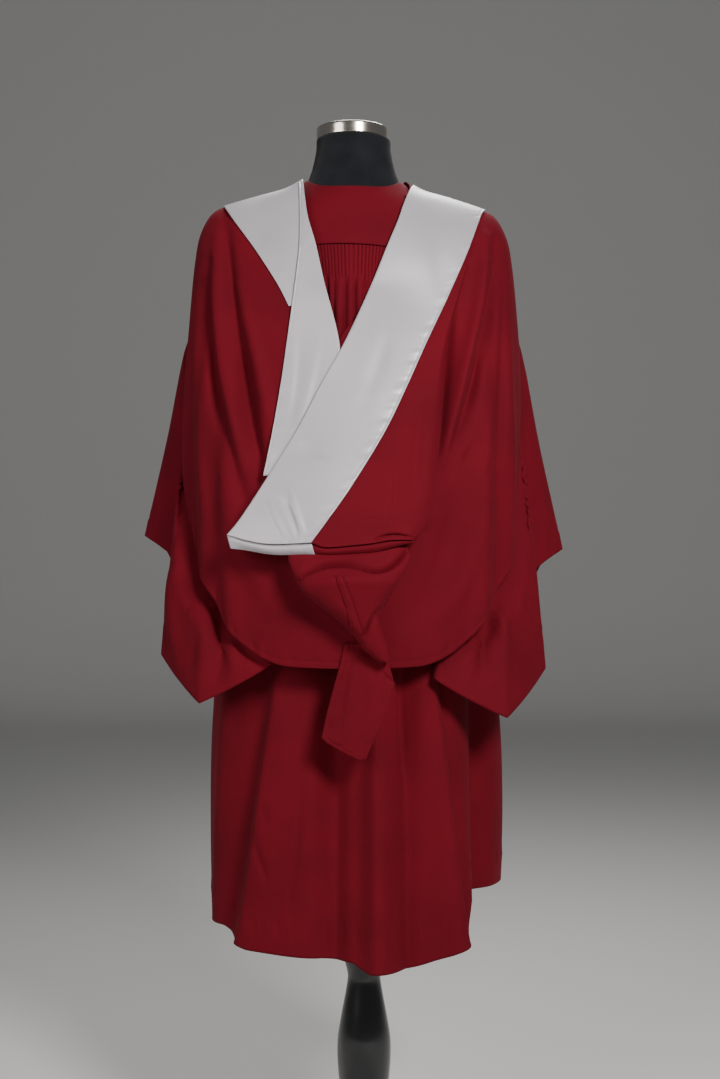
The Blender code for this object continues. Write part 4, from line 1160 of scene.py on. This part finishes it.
class GOWN_OT_sleeves(bpy.types.Operator):
    """Make the two bell sleeves"""
    bl_idname = "gown.sleeves"
    bl_label = "Bell sleeves"

    def execute(self, context):
        for name, side, drop in (("sleeve_right_cloth", 1, RIGHT_SLEEVE_DROP), ("sleeve_left_cloth", -1, 0.0)):
            add_cloth(name, sleeve_points(side, drop), RED_CLOTH, "gown_" + name[:-6],
                      CLOTH_WALL, closed=True, flip=side > 0)
        return {"FINISHED"}


class GOWN_OT_cape(bpy.types.Operator):
    """Make the hood's cape"""
    bl_idname = "gown.cape"
    bl_label = "Hood cape"

    def execute(self, context):
        add_cloth("cape_cloth", cape_points(), RED_CLOTH, "hood_cape",
                  CLOTH_WALL)
        return {"FINISHED"}


class GOWN_OT_bands(bpy.types.Operator):
    """Make the satin bands of the hood"""
    bl_idname = "gown.bands"
    bl_label = "Satin bands"

    def execute(self, context):
        band = let_down(strip_points(BAND_RIGHT, 240, 60, BAND_CREASES), BAND_END_DROP)
        band = hemmed(band, "right", BAND_HEM)
        add_cloth("band_right_satin", band, SATIN, "hood_band_right",
                  SATIN_WALL)
        add_cloth("band_turnup_satin", turned_up_points(band[-1], BAND_TURNUP, 0.005), SATIN,
                  "hood_band_turnup", SATIN_WALL)
        add_cloth("shoulder_left_satin", strip_points(SHOULDER_LEFT, 80, 44, LEFT_CREASES), SATIN,
                  "hood_shoulder_left", SATIN_WALL, flip=True)
        strip = hemmed(strip_points(BAND_LEFT, 150, 36, LEFT_CREASES), "right", STRIP_HEM)
        add_cloth("band_left_satin", strip, SATIN, "hood_band_left",
                  SATIN_WALL, flip=True)
        for name, side in (("front_band_right_satin", 1), ("front_band_left_satin", -1)):
            add_cloth(name, front_band_points(side), SATIN, "hood_" + name[:-6],
                      SATIN_WALL, flip=side > 0)
        return {"FINISHED"}


class GOWN_OT_hood(bpy.types.Operator):
    """Make the hood's cowl, pouch and tail"""
    bl_idname = "gown.hood"
    bl_label = "Cowl, pouch and tail"

    def execute(self, context):
        cowl = rolled_edge(let_down(strip_points(COWL, 160, 80, COWL_CREASES), COWL_END_DROP))
        add_cloth("cowl_cloth", cowl, RED_CLOTH, "hood_cowl",
                  CLOTH_WALL)
        add_cloth("cowl_turnup_cloth", turned_up_points(cowl[-1], COWL_TURNUP, 0.003), RED_CLOTH,
                  "hood_cowl_turnup", CLOTH_WALL)
        add_cloth("pouch_cloth", pouch_points(), RED_CLOTH, "hood_pouch",
                  CLOTH_WALL, closed=True)
        add_cloth("pouch_tape_cloth", pouch_tape_points(), RED_CLOTH, None,
                  TAPE_WALL)
        add_cloth("tail_cloth", tail_points(), RED_CLOTH, "hood_tail",
                  CLOTH_WALL)
        return {"FINISHED"}


class GOWN_OT_stage(bpy.types.Operator):
    """Set the camera, the lights and the plain studio floor"""
    bl_idname = "gown.stage"
    bl_label = "Stage"

    def execute(self, context):
        settings = context.scene.gown_studio
        data = bpy.data.cameras.new("back camera")
        data.lens = settings.lens
        data.sensor_width = 36.0
        data.sensor_fit = "AUTO"
        camera = linked_object("back camera", data)
        camera.location = (settings.camera_x, -settings.camera_distance, settings.camera_height)
        camera.rotation_euler = (math.radians(90), 0, 0)
        context.scene.camera = camera
        add_floor()
        for (name, place, target_z, size), power in zip(LIGHTS, (
                settings.key_power, settings.fill_power, settings.fill_power)):
            add_soft_light(name, place, (0, 0, target_z), size, power)
        world = bpy.data.worlds.new("studio")
        world.use_nodes = True
        sky = world.node_tree.nodes["Background"]
        sky.inputs["Color"].default_value = srgb("#C9CCD2")
        sky.inputs["Strength"].default_value = 0.22
        context.scene.world = world
        return {"FINISHED"}


def add_floor():
    """Pale paper: a flat floor that curves up into a wall behind the form."""
    half_width = 7
    front_y = -7.0
    flat_length = 13.0
    wall_height = 5.0
    across = np.linspace(-half_width, half_width, 3)[None, :]
    run = np.linspace(0, 1, 60)[:, None]
    flat_end = 0.60
    bend_end = 0.72
    bend_radius = 1.0
    turn = np.clip((run - flat_end) / (bend_end - flat_end), 0, 1) * math.pi / 2
    y = front_y + flat_length * np.clip(run / flat_end, 0, 1) + bend_radius * np.sin(turn)
    z = bend_radius * (1 - np.cos(turn)) + wall_height * np.clip((run - bend_end) / (1 - bend_end), 0, 1)
    points = np.stack([across + 0 * run, y + 0 * across, z + 0 * across], axis=-1)
    mesh = cloth_mesh("studio floor", points)
    mesh.materials.append(bpy.data.materials[PAPER])
    linked_object("studio_floor", mesh)


def add_soft_light(name, place, target, size, power):
    """A round soft light of a size in metres, turned to a target."""
    data = bpy.data.lights.new(name, "AREA")
    data.shape = "DISK"
    data.size = size
    data.energy = power
    light = linked_object(name, data)
    light.location = place
    light.rotation_euler = (Vector(target) - Vector(place)).to_track_quat("-Z", "Y").to_euler()


class GOWN_PT_sidebar(bpy.types.Panel):
    """Lists the settings and the pieces"""
    bl_idname = "GOWN_PT_sidebar"
    bl_label = "Graduation gown"
    bl_space_type = "VIEW_3D"
    bl_region_type = "UI"
    bl_category = "Gown"

    def draw(self, context):
        layout = self.layout
        for group in (context.scene.gown_colours, context.scene.gown_studio):
            for name in group.__annotations__:
                layout.prop(group, name)
        for operator in OPERATORS:
            layout.operator(operator.bl_idname)


OPERATORS = (GOWN_OT_materials, GOWN_OT_form, GOWN_OT_body, GOWN_OT_sleeves, GOWN_OT_cape,
             GOWN_OT_bands, GOWN_OT_hood, GOWN_OT_stage)
CLASSES = (GownColours, StudioSettings) + OPERATORS + (GOWN_PT_sidebar,)


def register():
    for item in CLASSES:
        bpy.utils.register_class(item)
    bpy.types.Scene.gown_colours = bpy.props.PointerProperty(type=GownColours)
    bpy.types.Scene.gown_studio = bpy.props.PointerProperty(type=StudioSettings)


def unregister():
    del bpy.types.Scene.gown_studio
    del bpy.types.Scene.gown_colours
    for item in reversed(CLASSES):
        bpy.utils.unregister_class(item)


def main():
    register()
    bpy.ops.gown.materials()
    bpy.ops.gown.form()
    bpy.ops.gown.body()
    bpy.ops.gown.sleeves()
    bpy.ops.gown.cape()
    bpy.ops.gown.bands()
    bpy.ops.gown.hood()
    bpy.ops.gown.stage()


if __name__ == "__main__":
    main()
